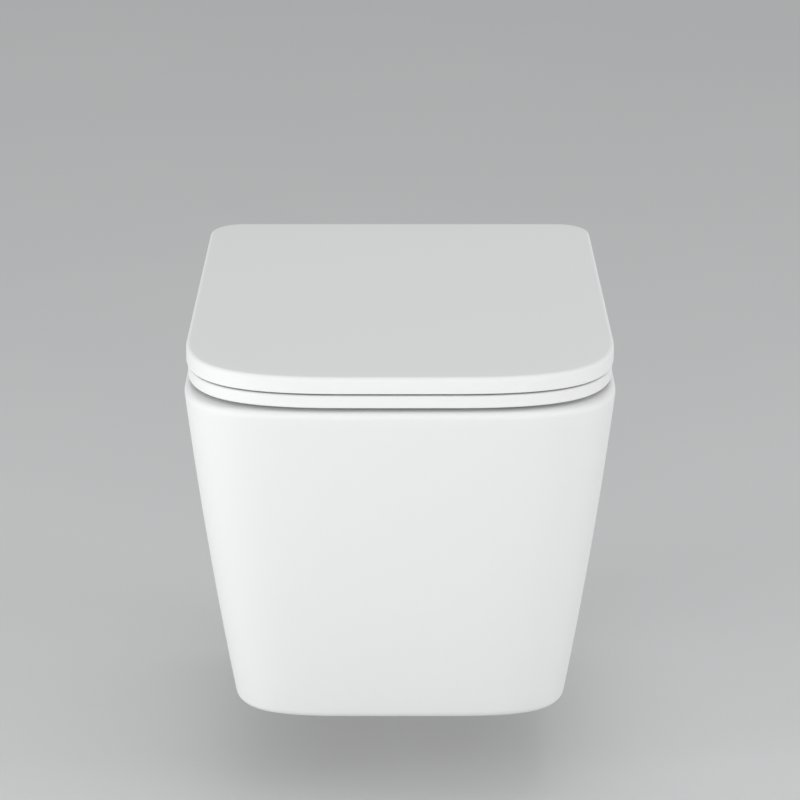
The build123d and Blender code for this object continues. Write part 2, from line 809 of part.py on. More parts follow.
def pivot_pin(side, outward, flat):
    """Steel pin from the block's side bore into a lug's insert, with a flat where flat is true."""
    face = side * (peg_x + outward * block_half)
    away = side * outward
    inner = face - away * pin_in_block
    outer = face + away * (lug_gap + pin_in_lug - pin_end_gap)
    pin = rod_x(pin_r, inner, outer, axis_y, axis_z)
    pin = chamfer(pin.edges().filter_by(GeomType.CIRCLE), pin_chamfer)
    if flat:
        top = axis_z + pin_r
        flat_x = face + away * lug_gap
        pin = pin - block(
            flat_x, outer + away * over, axis_y - pin_r, axis_y + pin_r, top - pin_flat, top + over
        )
    return pin


# Seat
def lug_bore(side, outward):
    """What a lug's insert takes out of the lug."""
    end = lug_end(side, outward)
    away = side * outward
    far = end + away * (lug_length - insert_end_gap)
    return rod_x(insert_r + insert_gap, end - away * over, far, axis_y, axis_z)


def make_seat():
    """Ring seat with two inner hinge lugs, notched round the hinge blocks."""
    side_rear = axis_y - seat_side_rear
    ring_plan = d_plan(
        pan_half_front - seat_inset,
        pan_half_rear - seat_inset,
        side_rear,
        seat_front_inset - pan_depth,
        front_bow,
        pan_front_radius - seat_inset,
        seat_rear_radius,
        seat_z,
    )
    ring = extrude(ring_plan, seat_thick)
    ring = fillet(ring.edges().group_by(Axis.Z)[-1], seat_top_edge)
    ring = fillet(ring.edges().group_by(Axis.Z)[0], seat_low_edge)
    open_plan = d_plan(
        seat_open_half,
        seat_open_half,
        seat_open_rear_y,
        seat_open_front_y,
        seat_open_bow,
        seat_open_half - seat_open_front_flat,
        seat_open_half - seat_open_rear_flat,
        seat_z - over,
    )
    ring = ring - extrude(open_plan, seat_thick + 2 * over)
    top_edges = [e for e in ring.edges().group_by(Axis.Z)[-1] if in_opening(e.center())]
    ring = fillet(top_edges, seat_open_edge)

    notch_half = block_half + seat_notch_gap
    notch_front = axis_y - block_front - button_proud - seat_notch_front
    inner_x = peg_x - notch_half
    ring += block(-inner_x, inner_x, side_rear - over, axis_y - seat_mid_rear, seat_z, seat_top_z)
    for side in sides.values():
        end = lug_end(side, -1)
        far = end - side * lug_length
        ring += rod_x(barrel_r, far, end, axis_y, axis_z)
        ring += prism_x(seat_lug_web(), far, end)
        outer_x = peg_x + notch_half
        notch = block(
            side * inner_x, side * outer_x, notch_front, axis_y + barrel_r, seat_z - over, axis_z + barrel_r
        )
        ring = ring - notch - lug_bore(side, -1)
    for pad in seat_pads(rim_z):
        ring = ring - pad
    return ring


def in_opening(place):
    """Whether an edge of the seat's top lies round the opening."""
    inside_y = seat_open_front_y - over < place.Y < seat_open_rear_y + over
    return abs(place.X) < seat_open_half + over and inside_y


def seat_lug_web():
    """Profile between the seat's barrel and its plate."""
    front_y = axis_y - barrel_r - seat_web_reach
    low_z = seat_top_z - seat_web_bite
    return [
        (axis_y - barrel_r + seat_web_inset, axis_z + seat_web_rise),
        (front_y, seat_top_z),
        (front_y, low_z),
        (axis_y - seat_mid_rear, low_z),
        (axis_y - seat_mid_rear, axis_z - barrel_r + seat_web_foot),
        (axis_y, axis_z),
    ]


def seat_pads(low_z):
    """The four rubber pads under the seat, from low_z up into their recesses."""
    pads = []
    for x, y, turn in ((pad_front_x, pad_front_y, 0), (pad_rear_x, pad_rear_y, 90)):
        for side in sides.values():
            shape = SlotOverall(pad_length, pad_width)
            pad = extrude(shape, seat_z + pad_recess - low_z)
            pads.append(Pos(side * x, y, low_z) * Rot(0, 0, turn) * pad)
    return pads


# Lid
def lid_plan(inset, z):
    """The lid's plan, drawn in by inset."""
    return d_plan(
        pan_half_front - lid_inset - inset,
        pan_half_rear - lid_inset - inset,
        lid_rear_y - inset,
        lid_front_y + inset,
        front_bow,
        pan_front_radius - lid_corner_inset - inset,
        lid_rear_radius - inset,
        z,
    )


def lid_lug_web(side):
    """Block between the lid's barrel and its ceiling."""
    end = lug_end(side, 1)
    far = end + side * lug_length
    return block(end, far, axis_y - lid_web_half, axis_y + lid_web_half, axis_z, lid_ceiling_z + over)


def lid_pad_places():
    """Places of the four pads under the lid."""
    return [(side * lid_pad_x, y) for side in sides.values() for y in (lid_pad_front_y, lid_pad_rear_y)]


def make_lid():
    """Wrap-over lid: a shallow tray turned over, with hinge lugs, notches and pad bosses inside."""
    lid = extrude(lid_plan(0, lid_z), lid_edge)
    lid = fillet(lid.edges().group_by(Axis.Z)[-1], lid_top_edge)
    lid = lid - extrude(lid_plan(lid_side_wall, lid_z - over), lid_edge + over - lid_top_wall)
    notch_half = block_half + lid_notch_gap
    for side in sides.values():
        lid += rod_x(barrel_r, lug_end(side, 1), lug_end(side, 1) + side * lug_length, axis_y, axis_z)
        lid += lid_lug_web(side)
        lid = lid - lug_bore(side, 1)
        inner_x = side * (peg_x - notch_half)
        outer_x = side * (peg_x + notch_half)
        lid = lid - block(inner_x, outer_x, axis_y, 0, lid_z - over, lid_ceiling_z)
    for x, y in lid_pad_places():
        lid += rod_z(lid_boss_r, seat_top_z + lid_pad_height, lid_ceiling_z + over, x, y)
    return lid


lid_pads = [rod_z(lid_pad_r, seat_top_z, seat_top_z + lid_pad_height, x, y) for x, y in lid_pad_places()]
nodes = pan_castings() | {
    "flush_inlet_seal": flush_inlet_seal(),
    "flush_diverter": flush_diverter(),
    "seat": make_seat(),
    "seat_buffers": Compound(children=seat_pads(rim_z)),
    "lid": make_lid(),
    "lid_buffers": Compound(children=lid_pads),
    "seat_damper": lug_insert(sides["left"], -1, pin_in_lug),
    "seat_damper_shaft": pivot_pin(sides["left"], -1, True),
    "seat_bush": lug_insert(sides["right"], -1, pin_in_lug),
    "seat_pivot_pin": pivot_pin(sides["right"], -1, False),
    "lid_damper": lug_insert(sides["right"], 1, pin_in_lug),
    "lid_damper_shaft": pivot_pin(sides["right"], 1, True),
    "lid_bush": lug_insert(sides["left"], 1, pin_in_lug),
    "lid_pivot_pin": pivot_pin(sides["left"], 1, False),
}
for name, side in sides.items():
    nodes["wall_bracket_" + name] = wall_bracket(side)
    nodes["side_sleeve_" + name] = side_sleeve(side)
    nodes["locking_screw_" + name] = locking_screw(side)
    nodes["cover_cap_" + name] = cover_cap(side)
    nodes["hinge_block_" + name] = hinge_block(side)
    nodes["rosette_" + name] = rosette(side)
    nodes["mounting_peg_" + name] = mounting_peg(side)
    nodes["expanding_bush_" + name] = expanding_bush(side)
    nodes["cone_nut_" + name] = cone_nut(side)
    nodes["release_button_" + name] = release_button(side)
    nodes["release_spring_" + name] = release_spring(side)

for name, part in nodes.items():
    save(part, name)
print(len(nodes), "nodes")
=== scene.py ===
import math

import bmesh
import bpy
import numpy as np
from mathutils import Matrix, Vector


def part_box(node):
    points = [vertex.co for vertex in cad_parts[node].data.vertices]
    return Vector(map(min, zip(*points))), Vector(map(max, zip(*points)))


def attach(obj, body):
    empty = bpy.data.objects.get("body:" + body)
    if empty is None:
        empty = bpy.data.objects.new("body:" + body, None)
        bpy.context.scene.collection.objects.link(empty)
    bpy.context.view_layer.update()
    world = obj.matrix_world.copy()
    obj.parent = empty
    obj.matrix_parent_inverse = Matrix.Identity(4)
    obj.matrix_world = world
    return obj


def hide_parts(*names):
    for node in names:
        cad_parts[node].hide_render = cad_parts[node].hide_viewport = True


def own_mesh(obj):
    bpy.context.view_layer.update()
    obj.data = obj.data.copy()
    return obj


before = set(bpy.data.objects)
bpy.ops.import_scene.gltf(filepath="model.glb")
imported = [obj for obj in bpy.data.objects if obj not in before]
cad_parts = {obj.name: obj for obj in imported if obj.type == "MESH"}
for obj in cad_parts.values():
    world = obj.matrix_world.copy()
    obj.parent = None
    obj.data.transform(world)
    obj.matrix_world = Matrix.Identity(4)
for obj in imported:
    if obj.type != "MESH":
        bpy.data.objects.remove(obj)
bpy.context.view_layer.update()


# Ceramic body
# One casting of vitreous china: a skirt with faintly bulging flanks round a rimless bowl, with its trap,
# spigot and flush inlet. Slip-cast in plaster moulds, sponged round at every edge, glazed white all over and
# fired; the wall face is ground.
mm = 0.001
rim_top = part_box("pan_rim")[1].z
foot_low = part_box("pan_foot")[0].z
pan_half_front, pan_half_rear, pan_depth = 182.1 * mm, 176.5 * mm, 494.7 * mm
foot_half_front, foot_half_rear, foot_depth = 145.8 * mm, 141 * mm, 350 * mm
pan_corner, foot_corner = 95 * mm, 62 * mm
front_bow = 2 * mm
flank_bulge = 2.3 * mm
rear_corner = 1 * mm
rim_round, foot_round = 7 * mm, 7.5 * mm
skirt_wall, deck_wall, floor_wall, bowl_wall = 10 * mm, 14 * mm, 10 * mm, 9 * mm
mouth_half, mouth_front, mouth_rear = 134 * mm, -449 * mm, -106 * mm
mouth_corner, mouth_rear_corner, small_bow = 104 * mm, 60 * mm, 0.5 * mm
mouth_round, ledge_drop, ledge_width, ledge_round = 5 * mm, 36 * mm, 9 * mm, 4 * mm
sump_half, sump_front, sump_rear, sump_corner = 36 * mm, -258 * mm, -184 * mm, 30 * mm
sump_low, sump_round, sump_flat = -232 * mm, 10 * mm, 22 * mm
# Corner styles: the reach along the front and along the side, in radii, and the pull on each.
soft_corner = (1.43, 1.17, 0.65, 0.80)
skirt_corner = (1.43, 0.946, 0.65, 0.955)
foot_style = (1.56, 1.04, 0.62, 0.87)
round_corner = (1.0, 1.0, 0.5523, 0.5523)


def run(start, end, steps):
    """Even steps on the straight line between two points, without the last one."""
    share = np.arange(steps)[None, :, None] / steps
    return start[:, None, :] + (end - start)[:, None, :] * share


def turn(start, corner, end, pull_start, pull_end, steps):
    """A cubic curve round a corner, without its last point. Its handles lie on the two sides of the corner,
    and each pull is the share of the way from the curve's end to the corner."""
    share = np.arange(steps)[None, :, None] / steps
    first = (start + (corner - start) * pull_start[:, None])[:, None, :]
    last = (end + (corner - end) * pull_end[:, None])[:, None, :]
    start, end = start[:, None, :], end[:, None, :]
    near, far = 1 - share, share
    return near**3 * start + 3 * near**2 * far * first + 3 * near * far**2 * last + far**3 * end


def plan_rings(half_front, half_rear, rear, front, bow, front_corner, back_corner, corner_style, z):
    """D-shaped rings, one for each height: from the middle of the rear along the straight rear, round a small
    corner, forward along the side, round the front corner and along the bowed front, then the same mirrored.
    The corner style gives how far the front corner reaches along front and side, in radii, and its two
    pulls."""
    z = np.atleast_1d(np.asarray(z, float))
    values = (half_front, half_rear, rear, front, bow, front_corner, back_corner, *corner_style)
    hf, hr, ry, fy, bw, fc, bc, reach_front, reach_side, pull_front, pull_side = [
        np.broadcast_to(np.asarray(value, float), z.shape) for value in values
    ]
    fc, bc = np.maximum(fc, 1 * mm), np.maximum(bc, 1 * mm)
    shoulder = fy + bw

    def at(x, y):
        return np.stack([x + 0 * z, y + 0 * z], axis=1)

    rear_mid, rear_end = at(0, ry), at(hr, ry)
    front_end, front_mid = at(hf, shoulder), at(0, shoulder)
    side = (front_end - rear_end) / np.linalg.norm(front_end - rear_end, axis=1)[:, None]
    rear_a = at(hr - bc, ry)
    rear_b = rear_end + side * bc[:, None]
    front_a = front_end - side * (fc * reach_side)[:, None]
    front_b = at(hf - fc * reach_front, shoulder)
    circle = np.full(z.shape, round_corner[2])
    half = np.concatenate(
        [
            run(rear_mid, rear_a, 14),
            turn(rear_a, rear_end, rear_b, circle, circle, 8),
            run(rear_b, front_a, 26),
            turn(front_a, front_end, front_b, pull_side, pull_front, 30),
            run(front_b, front_mid, 12),
            front_mid[:, None, :],
        ],
        axis=1,
    )
    ahead = np.clip((ry[:, None] - half[..., 1]) / (ry - shoulder)[:, None], 0, 1)
    across = np.clip(half[..., 0] / hf[:, None], 0, 1)
    half[..., 1] -= bw[:, None] * (1 - across**2) * ahead**4
    mirrored = half[:, -2:0:-1] * np.array([-1.0, 1.0])
    ring = np.concatenate([half, mirrored], axis=1)
    heights = np.broadcast_to(z[:, None, None], ring.shape[:2] + (1,))
    return np.concatenate([ring, heights], axis=2)


def closed_piece(name, rings, loop=False):
    """A closed mesh through rings of points, (ring, point, xyz). The last ring joins the first where loop is
    true, and otherwise each end is closed by a fan to its ring's middle. The signed volume, the sum of each
    face's corner products, says whether the faces have to be turned to point out."""
    rows, around = rings.shape[:2]
    points = rings.reshape(-1, 3)
    row, col = np.meshgrid(np.arange(rows if loop else rows - 1), np.arange(around), indexing="ij")
    ahead, up = (col + 1) % around, (row + 1) % rows
    quads = np.stack(
        [row * around + col, row * around + ahead, up * around + ahead, up * around + col], axis=-1
    ).reshape(-1, 4)
    ring = np.arange(around)
    after = (ring + 1) % around
    low_fan = high_fan = np.empty((0, 3), int)
    if not loop:
        points = np.concatenate([points, rings[:1].mean(axis=1), rings[-1:].mean(axis=1)])
        low_pole, high_pole, last = rows * around, rows * around + 1, (rows - 1) * around
        low_fan = np.stack([after, ring, np.full(around, low_pole)], axis=1)
        high_fan = np.stack([last + ring, last + after, np.full(around, high_pole)], axis=1)
    halves = np.concatenate([quads[:, [0, 1, 2]], quads[:, [0, 2, 3]], low_fan, high_fan])
    a, b, c = (points[halves[:, k]] for k in range(3))
    if np.einsum("ij,ij->i", a, np.cross(b, c)).sum() < 0:
        quads, low_fan, high_fan = quads[:, ::-1], low_fan[:, ::-1], high_fan[:, ::-1]
    mesh = bpy.data.meshes.new(name)
    mesh.from_pydata(points.tolist(), [], quads.tolist() + low_fan.tolist() + high_fan.tolist())
    piece = bpy.data.objects.new(name, mesh)
    bpy.context.scene.collection.objects.link(piece)
    return piece


def slab(low, high):
    """A closed box from its two corners, as two rings of four points."""
    xs, ys = np.array([low[0], high[0], high[0], low[0]]), np.array([low[1], low[1], high[1], high[1]])
    rings = [np.stack([xs, ys, np.full(4, z)], axis=1) for z in (low[2], high[2])]
    return closed_piece("slab", np.array(rings))


def turned(name, origin, direction, profile, around=64):
    """A piece turned on a lathe: its axis starts at origin along direction, and the profile gives (distance
    along the axis, radius) from one end to the other."""
    axis = np.asarray(direction, float) / np.linalg.norm(direction)
    helper = np.array([0.0, 0.0, 1.0]) if abs(axis[2]) < 0.9 else np.array([1.0, 0.0, 0.0])
    side = np.cross(axis, helper)
    side /= np.linalg.norm(side)
    other = np.cross(axis, side)
    angle = np.linspace(0, 2 * math.pi, around, endpoint=False)
    spoke = np.cos(angle)[:, None] * side + np.sin(angle)[:, None] * other
    along, radius = np.asarray(profile, float).T
    centres = np.asarray(origin, float) + along[:, None, None] * axis
    return closed_piece(name, centres + radius[:, None, None] * spoke[None])


def combine(base, tool, operation):
    """The base with a closed tool added (UNION) or taken away (DIFFERENCE)."""
    step = base.modifiers.new("combine", "BOOLEAN")
    step.operation = operation
    step.solver = "MANIFOLD"
    step.object = tool
    ready = base.evaluated_get(bpy.context.evaluated_depsgraph_get())
    base.data = bpy.data.meshes.new_from_object(ready)
    base.modifiers.clear()
    bpy.data.objects.remove(tool)
    return base


def smooth(piece, limit=32):
    """Shades a piece smooth, with every edge sharper than the limit in degrees kept as an edge."""
    work = bmesh.new()
    work.from_mesh(piece.data)
    bmesh.ops.remove_doubles(work, verts=work.verts, dist=1e-6)
    bmesh.ops.dissolve_degenerate(work, edges=work.edges, dist=1e-6)
    for edge in work.edges:
        edge.smooth = edge.calc_face_angle(math.pi) < math.radians(limit)
    for face in work.faces:
        face.smooth = True
    work.to_mesh(piece.data)
    work.free()
    return piece


def quarter(steps):
    """Angles of a quarter turn, in even steps."""
    return np.linspace(0, math.pi / 2, steps + 1)


def skirt_rings(z, inset):
    """The skirt's rings at heights z, drawn in by inset: each size runs from the rim's to the foot's, along a
    line that bulges out a little halfway, by four times the bulge times d(1 - d)."""
    down = (rim_top - z) / (rim_top - foot_low)
    inset = inset - 4 * flank_bulge * down * (1 - down)
    style = [at_rim + (at_foot - at_rim) * down**2 for at_rim, at_foot in zip(skirt_corner, foot_style)]

    def between(rim_size, foot_size):
        return rim_size + (foot_size - rim_size) * down - inset

    return plan_rings(
        between(pan_half_front, foot_half_front),
        between(pan_half_rear, foot_half_rear),
        0,
        -between(pan_depth, foot_depth),
        front_bow,
        between(pan_corner, foot_corner),
        rear_corner,
        style,
        z,
    )


def mouth_rings(z, grow):
    """The upright mouth's rings at heights z, grown outwards."""
    return plan_rings(
        mouth_half + grow,
        mouth_half + grow,
        mouth_rear + grow,
        mouth_front - grow,
        small_bow,
        mouth_corner + grow,
        mouth_rear_corner + grow,
        round_corner,
        z,
    )


def bowl_rings(z, grow):
    """The bowl's rings at heights z: each size follows an S-shaped curve, 3u^2 - 2u^3, from the sump to the
    ledge."""
    up = np.clip((z - sump_low) / (rim_top - ledge_drop - sump_low), 0, 1)
    share = up * up * (3 - 2 * up)

    def between(sump_size, ledge_size):
        return sump_size + (ledge_size - sump_size) * share

    half = between(sump_half, mouth_half - ledge_width) + grow
    return plan_rings(
        half,
        half,
        between(sump_rear, mouth_rear - ledge_width) + grow,
        between(sump_front, mouth_front + ledge_width) - grow,
        small_bow,
        between(sump_corner, mouth_corner - ledge_width) + grow,
        between(sump_corner, mouth_rear_corner - ledge_width) + grow,
        round_corner,
        z,
    )


def outside_and_bowl():
    """One closed surface: from the foot's middle over its rounding, up the flanks, over the rim into the
    mouth, along the ledge and its rounded lip, and down the bowl to the sump."""
    foot_turn, rim_turn, edge_turn = quarter(8), quarter(8), quarter(6)
    foot_flat = np.array([70, 40, 20]) * mm
    rim_flat = np.array([0.7, 0.35])[:, None, None]
    flank = np.linspace(foot_low + foot_round, rim_top - rim_round, 26)[1:-1]
    rim_inner = skirt_rings(np.array([rim_top]), rim_round)
    edge_outer = mouth_rings(np.array([rim_top]), mouth_round)
    ledge = rim_top - ledge_drop
    cove = 4 * mm
    wall_low = ledge + cove * (1 - np.sin(quarter(5)))
    lip = quarter(5)
    bowl_z = np.linspace(ledge - ledge_round, sump_low + sump_round, 30)[1:]
    floor_turn = quarter(6)[1:]
    return np.concatenate(
        [
            skirt_rings(np.full(3, foot_low), foot_round + foot_flat),
            skirt_rings(foot_low + foot_round * (1 - np.cos(foot_turn)), foot_round * (1 - np.sin(foot_turn))),
            skirt_rings(flank, 0),
            skirt_rings(rim_top - rim_round * (1 - np.sin(rim_turn)), rim_round * (1 - np.cos(rim_turn))),
            rim_inner * rim_flat + edge_outer * (1 - rim_flat),
            mouth_rings(rim_top - mouth_round * (1 - np.cos(edge_turn)), mouth_round * (1 - np.sin(edge_turn))),
            mouth_rings(np.linspace(rim_top - mouth_round, ledge + cove, 6)[1:-1], 0),
            mouth_rings(wall_low, -cove * (1 - np.cos(quarter(5)))),
            bowl_rings(ledge - ledge_round * (1 - np.cos(lip)), 0)
            + offset_out(bowl_rings(np.full(len(lip), ledge), 0), ledge_round - ledge_round * np.sin(lip)),
            bowl_rings(bowl_z, 0),
            bowl_rings(sump_low + sump_round * (1 - np.sin(floor_turn)), -sump_round * (1 - np.cos(floor_turn))),
            bowl_rings(np.full(1, sump_low), -sump_flat),
        ]
    )


def offset_out(rings, amount):
    """How far each point moves when its ring grows by amount: along the ring's outward normal."""
    tangent = np.roll(rings, -1, axis=1) - np.roll(rings, 1, axis=1)
    normal = np.stack([-tangent[..., 1], tangent[..., 0], 0 * tangent[..., 0]], axis=-1)
    normal /= np.linalg.norm(normal, axis=2)[..., None]
    return normal * np.asarray(amount)[:, None, None]


trap_bore, trap_wall, trap_bend = 27.5 * mm, 8 * mm, 52.5 * mm
trap_start, trap_turn, waste_z = -222 * mm, -178 * mm, -100 * mm
spigot_r, spigot_bore, spigot_root, spigot_end = 51 * mm, 42 * mm, -58 * mm, -12 * mm
inlet_z, inlet_bore, inlet_r = 35 * mm, 27.5 * mm, 35.5 * mm
inlet_root, inlet_end, end_round, slot_height = -88 * mm, -12 * mm, 2 * mm, 15 * mm
trap_end = trap_turn + 2 * trap_bend


def trap_tube(radius, radius_end, end_y, edge):
    """A tube carried along the trap's centre line: straight back, a quarter circle up, another back to level,
    then a cone that widens to the spigot, and the spigot itself with its end rounded by edge."""
    angle = np.linspace(0, math.pi / 2, 19)[1:]
    low_z, mid_z = waste_z - 2 * trap_bend, waste_z - trap_bend
    climb_y, climb_z = trap_turn + trap_bend * np.sin(angle), mid_z - trap_bend * np.cos(angle)
    level_y, level_z = trap_end - trap_bend * np.cos(angle), mid_z + trap_bend * np.sin(angle)
    rounding = quarter(4)
    ending = end_y - edge * (1 - np.sin(rounding))
    y = np.concatenate([[trap_start, trap_turn], climb_y, level_y, [spigot_root], ending])
    z = np.concatenate([[low_z, low_z], climb_z, level_z, np.full(1 + len(ending), waste_z)])
    heading = np.concatenate([[0, 0], angle, math.pi / 2 - angle, np.zeros(1 + len(ending))])
    end_r = radius_end - edge * (1 - np.cos(rounding))
    r = np.concatenate([np.full(2 + 2 * len(angle), radius), [radius_end], end_r])
    around = np.linspace(0, 2 * math.pi, 96, endpoint=False)
    x = r[:, None] * np.cos(around)
    up = r[:, None] * np.sin(around)
    ring_y = y[:, None] - up * np.sin(heading)[:, None]
    ring_z = z[:, None] + up * np.cos(heading)[:, None]
    return closed_piece("tube", np.stack([x, ring_y, ring_z], axis=2))


def inlet_neck():
    """The neck round the flush inlet: half a circle below, upright sides up into the deck, with its end
    rounded."""
    angle = np.linspace(math.pi, 2 * math.pi, 49)
    edge = end_round * (1 - np.cos(quarter(4)))
    ends = inlet_end - end_round * (1 - np.sin(quarter(4)))
    rows = []
    for y, inset in zip(np.concatenate([[mouth_rear - 10 * mm], ends]), np.concatenate([[0], edge])):
        r = inlet_r - inset
        arc = np.stack([r * np.cos(angle), np.full(len(angle), y), inlet_z + r * np.sin(angle)], axis=1)
        top = np.array([[r, y, rim_top - 5 * mm], [-r, y, rim_top - 5 * mm]])
        rows.append(np.concatenate([arc, top]))
    return closed_piece("neck", np.array(rows))


peg_x, peg_y, peg_hole_r = 77.5 * mm, -65 * mm, 7.5 * mm
hole_y, side_hole_r, side_hole_depth = -42 * mm, 10 * mm, 22 * mm
side_boss = [(2 * mm, 16 * mm), (17 * mm, 16 * mm), (19 * mm, 14 * mm)]


def flank_line(side, y, z):
    """The point of the flank at y and z on one side, and the direction square to it."""
    down = (rim_top - z) / (rim_top - foot_low)
    half_front = pan_half_front + (foot_half_front - pan_half_front) * down
    half_rear = pan_half_rear + (foot_half_rear - pan_half_rear) * down
    depth = pan_depth + (foot_depth - pan_depth) * down
    half = half_rear + (half_front - half_rear) * -y / depth + 4 * flank_bulge * down * (1 - down)
    lean_y = (half_front - half_rear) / depth
    lean_z = (pan_half_rear - foot_half_rear) / (rim_top - foot_low)
    direction = np.array([side, lean_y, -lean_z])
    return np.array([side * half, y, z]), direction / np.linalg.norm(direction)


def make_ceramic():
    """The outside and bowl in one surface, then the rear hollow, the waterways and the holes cut out of
    it."""
    body = closed_piece("ceramic_body", outside_and_bowl())
    under, floor = rim_top - deck_wall, foot_low + floor_wall
    hollow_z = np.linspace(floor, under, 12)
    rings = skirt_rings(hollow_z, skirt_wall)
    rings[..., 1] = np.where(rings[..., 1] > -1.5 * mm, 20 * mm, rings[..., 1])
    hollow = closed_piece("hollow", rings)
    ledge = rim_top - ledge_drop
    bowl_out = np.concatenate(
        [
            bowl_rings(np.array([foot_low + 3 * mm]), bowl_wall),
            bowl_rings(np.linspace(sump_low, ledge - bowl_wall, 30), bowl_wall),
            mouth_rings(np.linspace(ledge - bowl_wall + 1 * mm, rim_top - 5 * mm, 6), bowl_wall),
        ]
    )
    combine(hollow, closed_piece("bowl_outside", bowl_out), "DIFFERENCE")
    combine(hollow, trap_tube(trap_bore + trap_wall, spigot_r, spigot_end, end_round), "DIFFERENCE")
    combine(hollow, inlet_neck(), "DIFFERENCE")
    for side in (-1, 1):
        start, out = flank_line(side, hole_y, 0)
        boss = turned("boss", start, -out, side_boss)
        combine(hollow, boss, "DIFFERENCE")
    combine(body, hollow, "DIFFERENCE")
    combine(body, trap_tube(trap_bore, spigot_bore, 2 * mm, 0.01 * mm), "DIFFERENCE")
    bore = turned("bore", (0, inlet_root, inlet_z), (0, 1, 0), [(0, inlet_bore), (100 * mm, inlet_bore)])
    combine(body, bore, "DIFFERENCE")
    slot_low = ledge + 0.5 * mm
    slot_corner = (inlet_bore, inlet_root + 5 * mm, slot_low + slot_height)
    slot = slab((-inlet_bore, mouth_rear - 1 * mm, slot_low), slot_corner)
    combine(body, slot, "DIFFERENCE")
    for side in (-1, 1):
        peg_hole = [(0, peg_hole_r), (deck_wall + 2 * mm, peg_hole_r)]
        combine(body, turned("hole", (side * peg_x, peg_y, under - mm), (0, 0, 1), peg_hole), "DIFFERENCE")
        start, out = flank_line(side, hole_y, 0)
        side_hole = [(0, side_hole_r), (side_hole_depth, side_hole_r)]
        combine(body, turned("hole", start + out * mm, -out, side_hole), "DIFFERENCE")
    return smooth(body)


def glaze():
    """White sanitary glaze: a clear gloss over a white base, with a fine orange peel and a barely uneven tone
    where it is thicker. The last millimetre towards the wall is ground flat after firing, so bare matt china
    shows there."""
    material = bpy.data.materials.new("glaze")
    material.use_nodes = True
    nodes, links = material.node_tree.nodes, material.node_tree.links
    shader = nodes["Principled BSDF"]
    shader.inputs["IOR"].default_value = 1.52
    shader.inputs["Coat Roughness"].default_value = 0.02
    place = nodes.new("ShaderNodeTexCoord")
    pools = nodes.new("ShaderNodeTexNoise")
    pools.inputs["Scale"].default_value = 9
    pools.inputs["Detail"].default_value = 3
    tone = nodes.new("ShaderNodeValToRGB")
    tone.color_ramp.elements[0].position = 0.3
    tone.color_ramp.elements[0].color = (0.876, 0.880, 0.880, 1)
    tone.color_ramp.elements[1].position = 0.7
    tone.color_ramp.elements[1].color = (0.896, 0.896, 0.892, 1)
    gloss = nodes.new("ShaderNodeMapRange")
    gloss.inputs["To Min"].default_value = 0.055
    gloss.inputs["To Max"].default_value = 0.11
    peel = nodes.new("ShaderNodeTexNoise")
    peel.inputs["Scale"].default_value = 55
    peel.inputs["Detail"].default_value = 2
    wave = nodes.new("ShaderNodeBump")
    wave.inputs["Strength"].default_value = 0.05
    wave.inputs["Distance"].default_value = 0.0006
    links.new(place.outputs["Object"], pools.inputs["Vector"])
    links.new(place.outputs["Object"], peel.inputs["Vector"])
    links.new(pools.outputs["Fac"], tone.inputs["Fac"])
    split, ground = nodes.new("ShaderNodeSeparateXYZ"), nodes.new("ShaderNodeMapRange")
    ground.inputs["From Min"].default_value, ground.inputs["From Max"].default_value = -0.0012, -0.0004
    bare, matt, coat = nodes.new("ShaderNodeMix"), nodes.new("ShaderNodeMix"), nodes.new("ShaderNodeMapRange")
    bare.data_type = "RGBA"
    bare_colour = [socket for socket in bare.inputs if socket.type == "RGBA"]
    bare_colour[1].default_value = (0.74, 0.72, 0.68, 1)
    matt.inputs[3].default_value = 0.75
    coat.inputs["To Min"].default_value, coat.inputs["To Max"].default_value = 0.35, 0
    links.new(place.outputs["Object"], split.inputs["Vector"])
    links.new(split.outputs["Y"], ground.inputs["Value"])
    links.new(ground.outputs["Result"], bare.inputs["Factor"])
    links.new(ground.outputs["Result"], matt.inputs["Factor"])
    links.new(ground.outputs["Result"], coat.inputs["Value"])
    links.new(tone.outputs["Color"], bare_colour[0])
    links.new([socket for socket in bare.outputs if socket.type == "RGBA"][0], shader.inputs["Base Color"])
    links.new(pools.outputs["Fac"], gloss.inputs["Value"])
    links.new(gloss.outputs["Result"], matt.inputs[2])
    links.new(matt.outputs[0], shader.inputs["Roughness"])
    links.new(coat.outputs["Result"], shader.inputs["Coat Weight"])
    links.new(peel.outputs["Fac"], wave.inputs["Height"])
    links.new(wave.outputs["Normal"], shader.inputs["Normal"])
    return material


ceramic = make_ceramic()
ceramic.data.materials.append(glaze())
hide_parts("pan_rim", "pan_inlet", "pan_skirt", "pan_bowl", "pan_foot")
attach(ceramic, "pan")


# Seat
# A ring of white thermoset, pressed in a polished two-part mould, with a soft inner edge and four rubber pads
# below. Its two inner hinge lugs take round nylon inserts, and its rear is notched round the hinge blocks.
seat_z, seat_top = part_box("seat")[0].z, rim_top + 14 * mm
axis_y, axis_z = -40 * mm, rim_top + 18 * mm
barrel_r, lug_length, insert_bore, insert_depth = 7.5 * mm, 38 * mm, 5.55 * mm, 37 * mm
seat_half_front, seat_half_rear = 180 * mm, 173.5 * mm
seat_front, seat_rear, seat_corner, seat_rear_corner = -489.4 * mm, -50.5 * mm, 92 * mm, 14 * mm
open_half, open_front, open_rear = 112 * mm, -408 * mm, -134 * mm
open_front_corner, open_rear_corner = 96 * mm, 70 * mm
seat_top_edge, seat_low_edge, open_edge = 1.6 * mm, 1.5 * mm, 4.5 * mm
seat_notch_half, seat_notch_front = 14 * mm, -84 * mm
seat_notch_corner, seat_notch_edge, open_soft = 3 * mm, 1.2 * mm, 9 * mm
block_half, lug_gap, lug_edge, web_inset = 12 * mm, 2 * mm, 0.8 * mm, 0.6 * mm


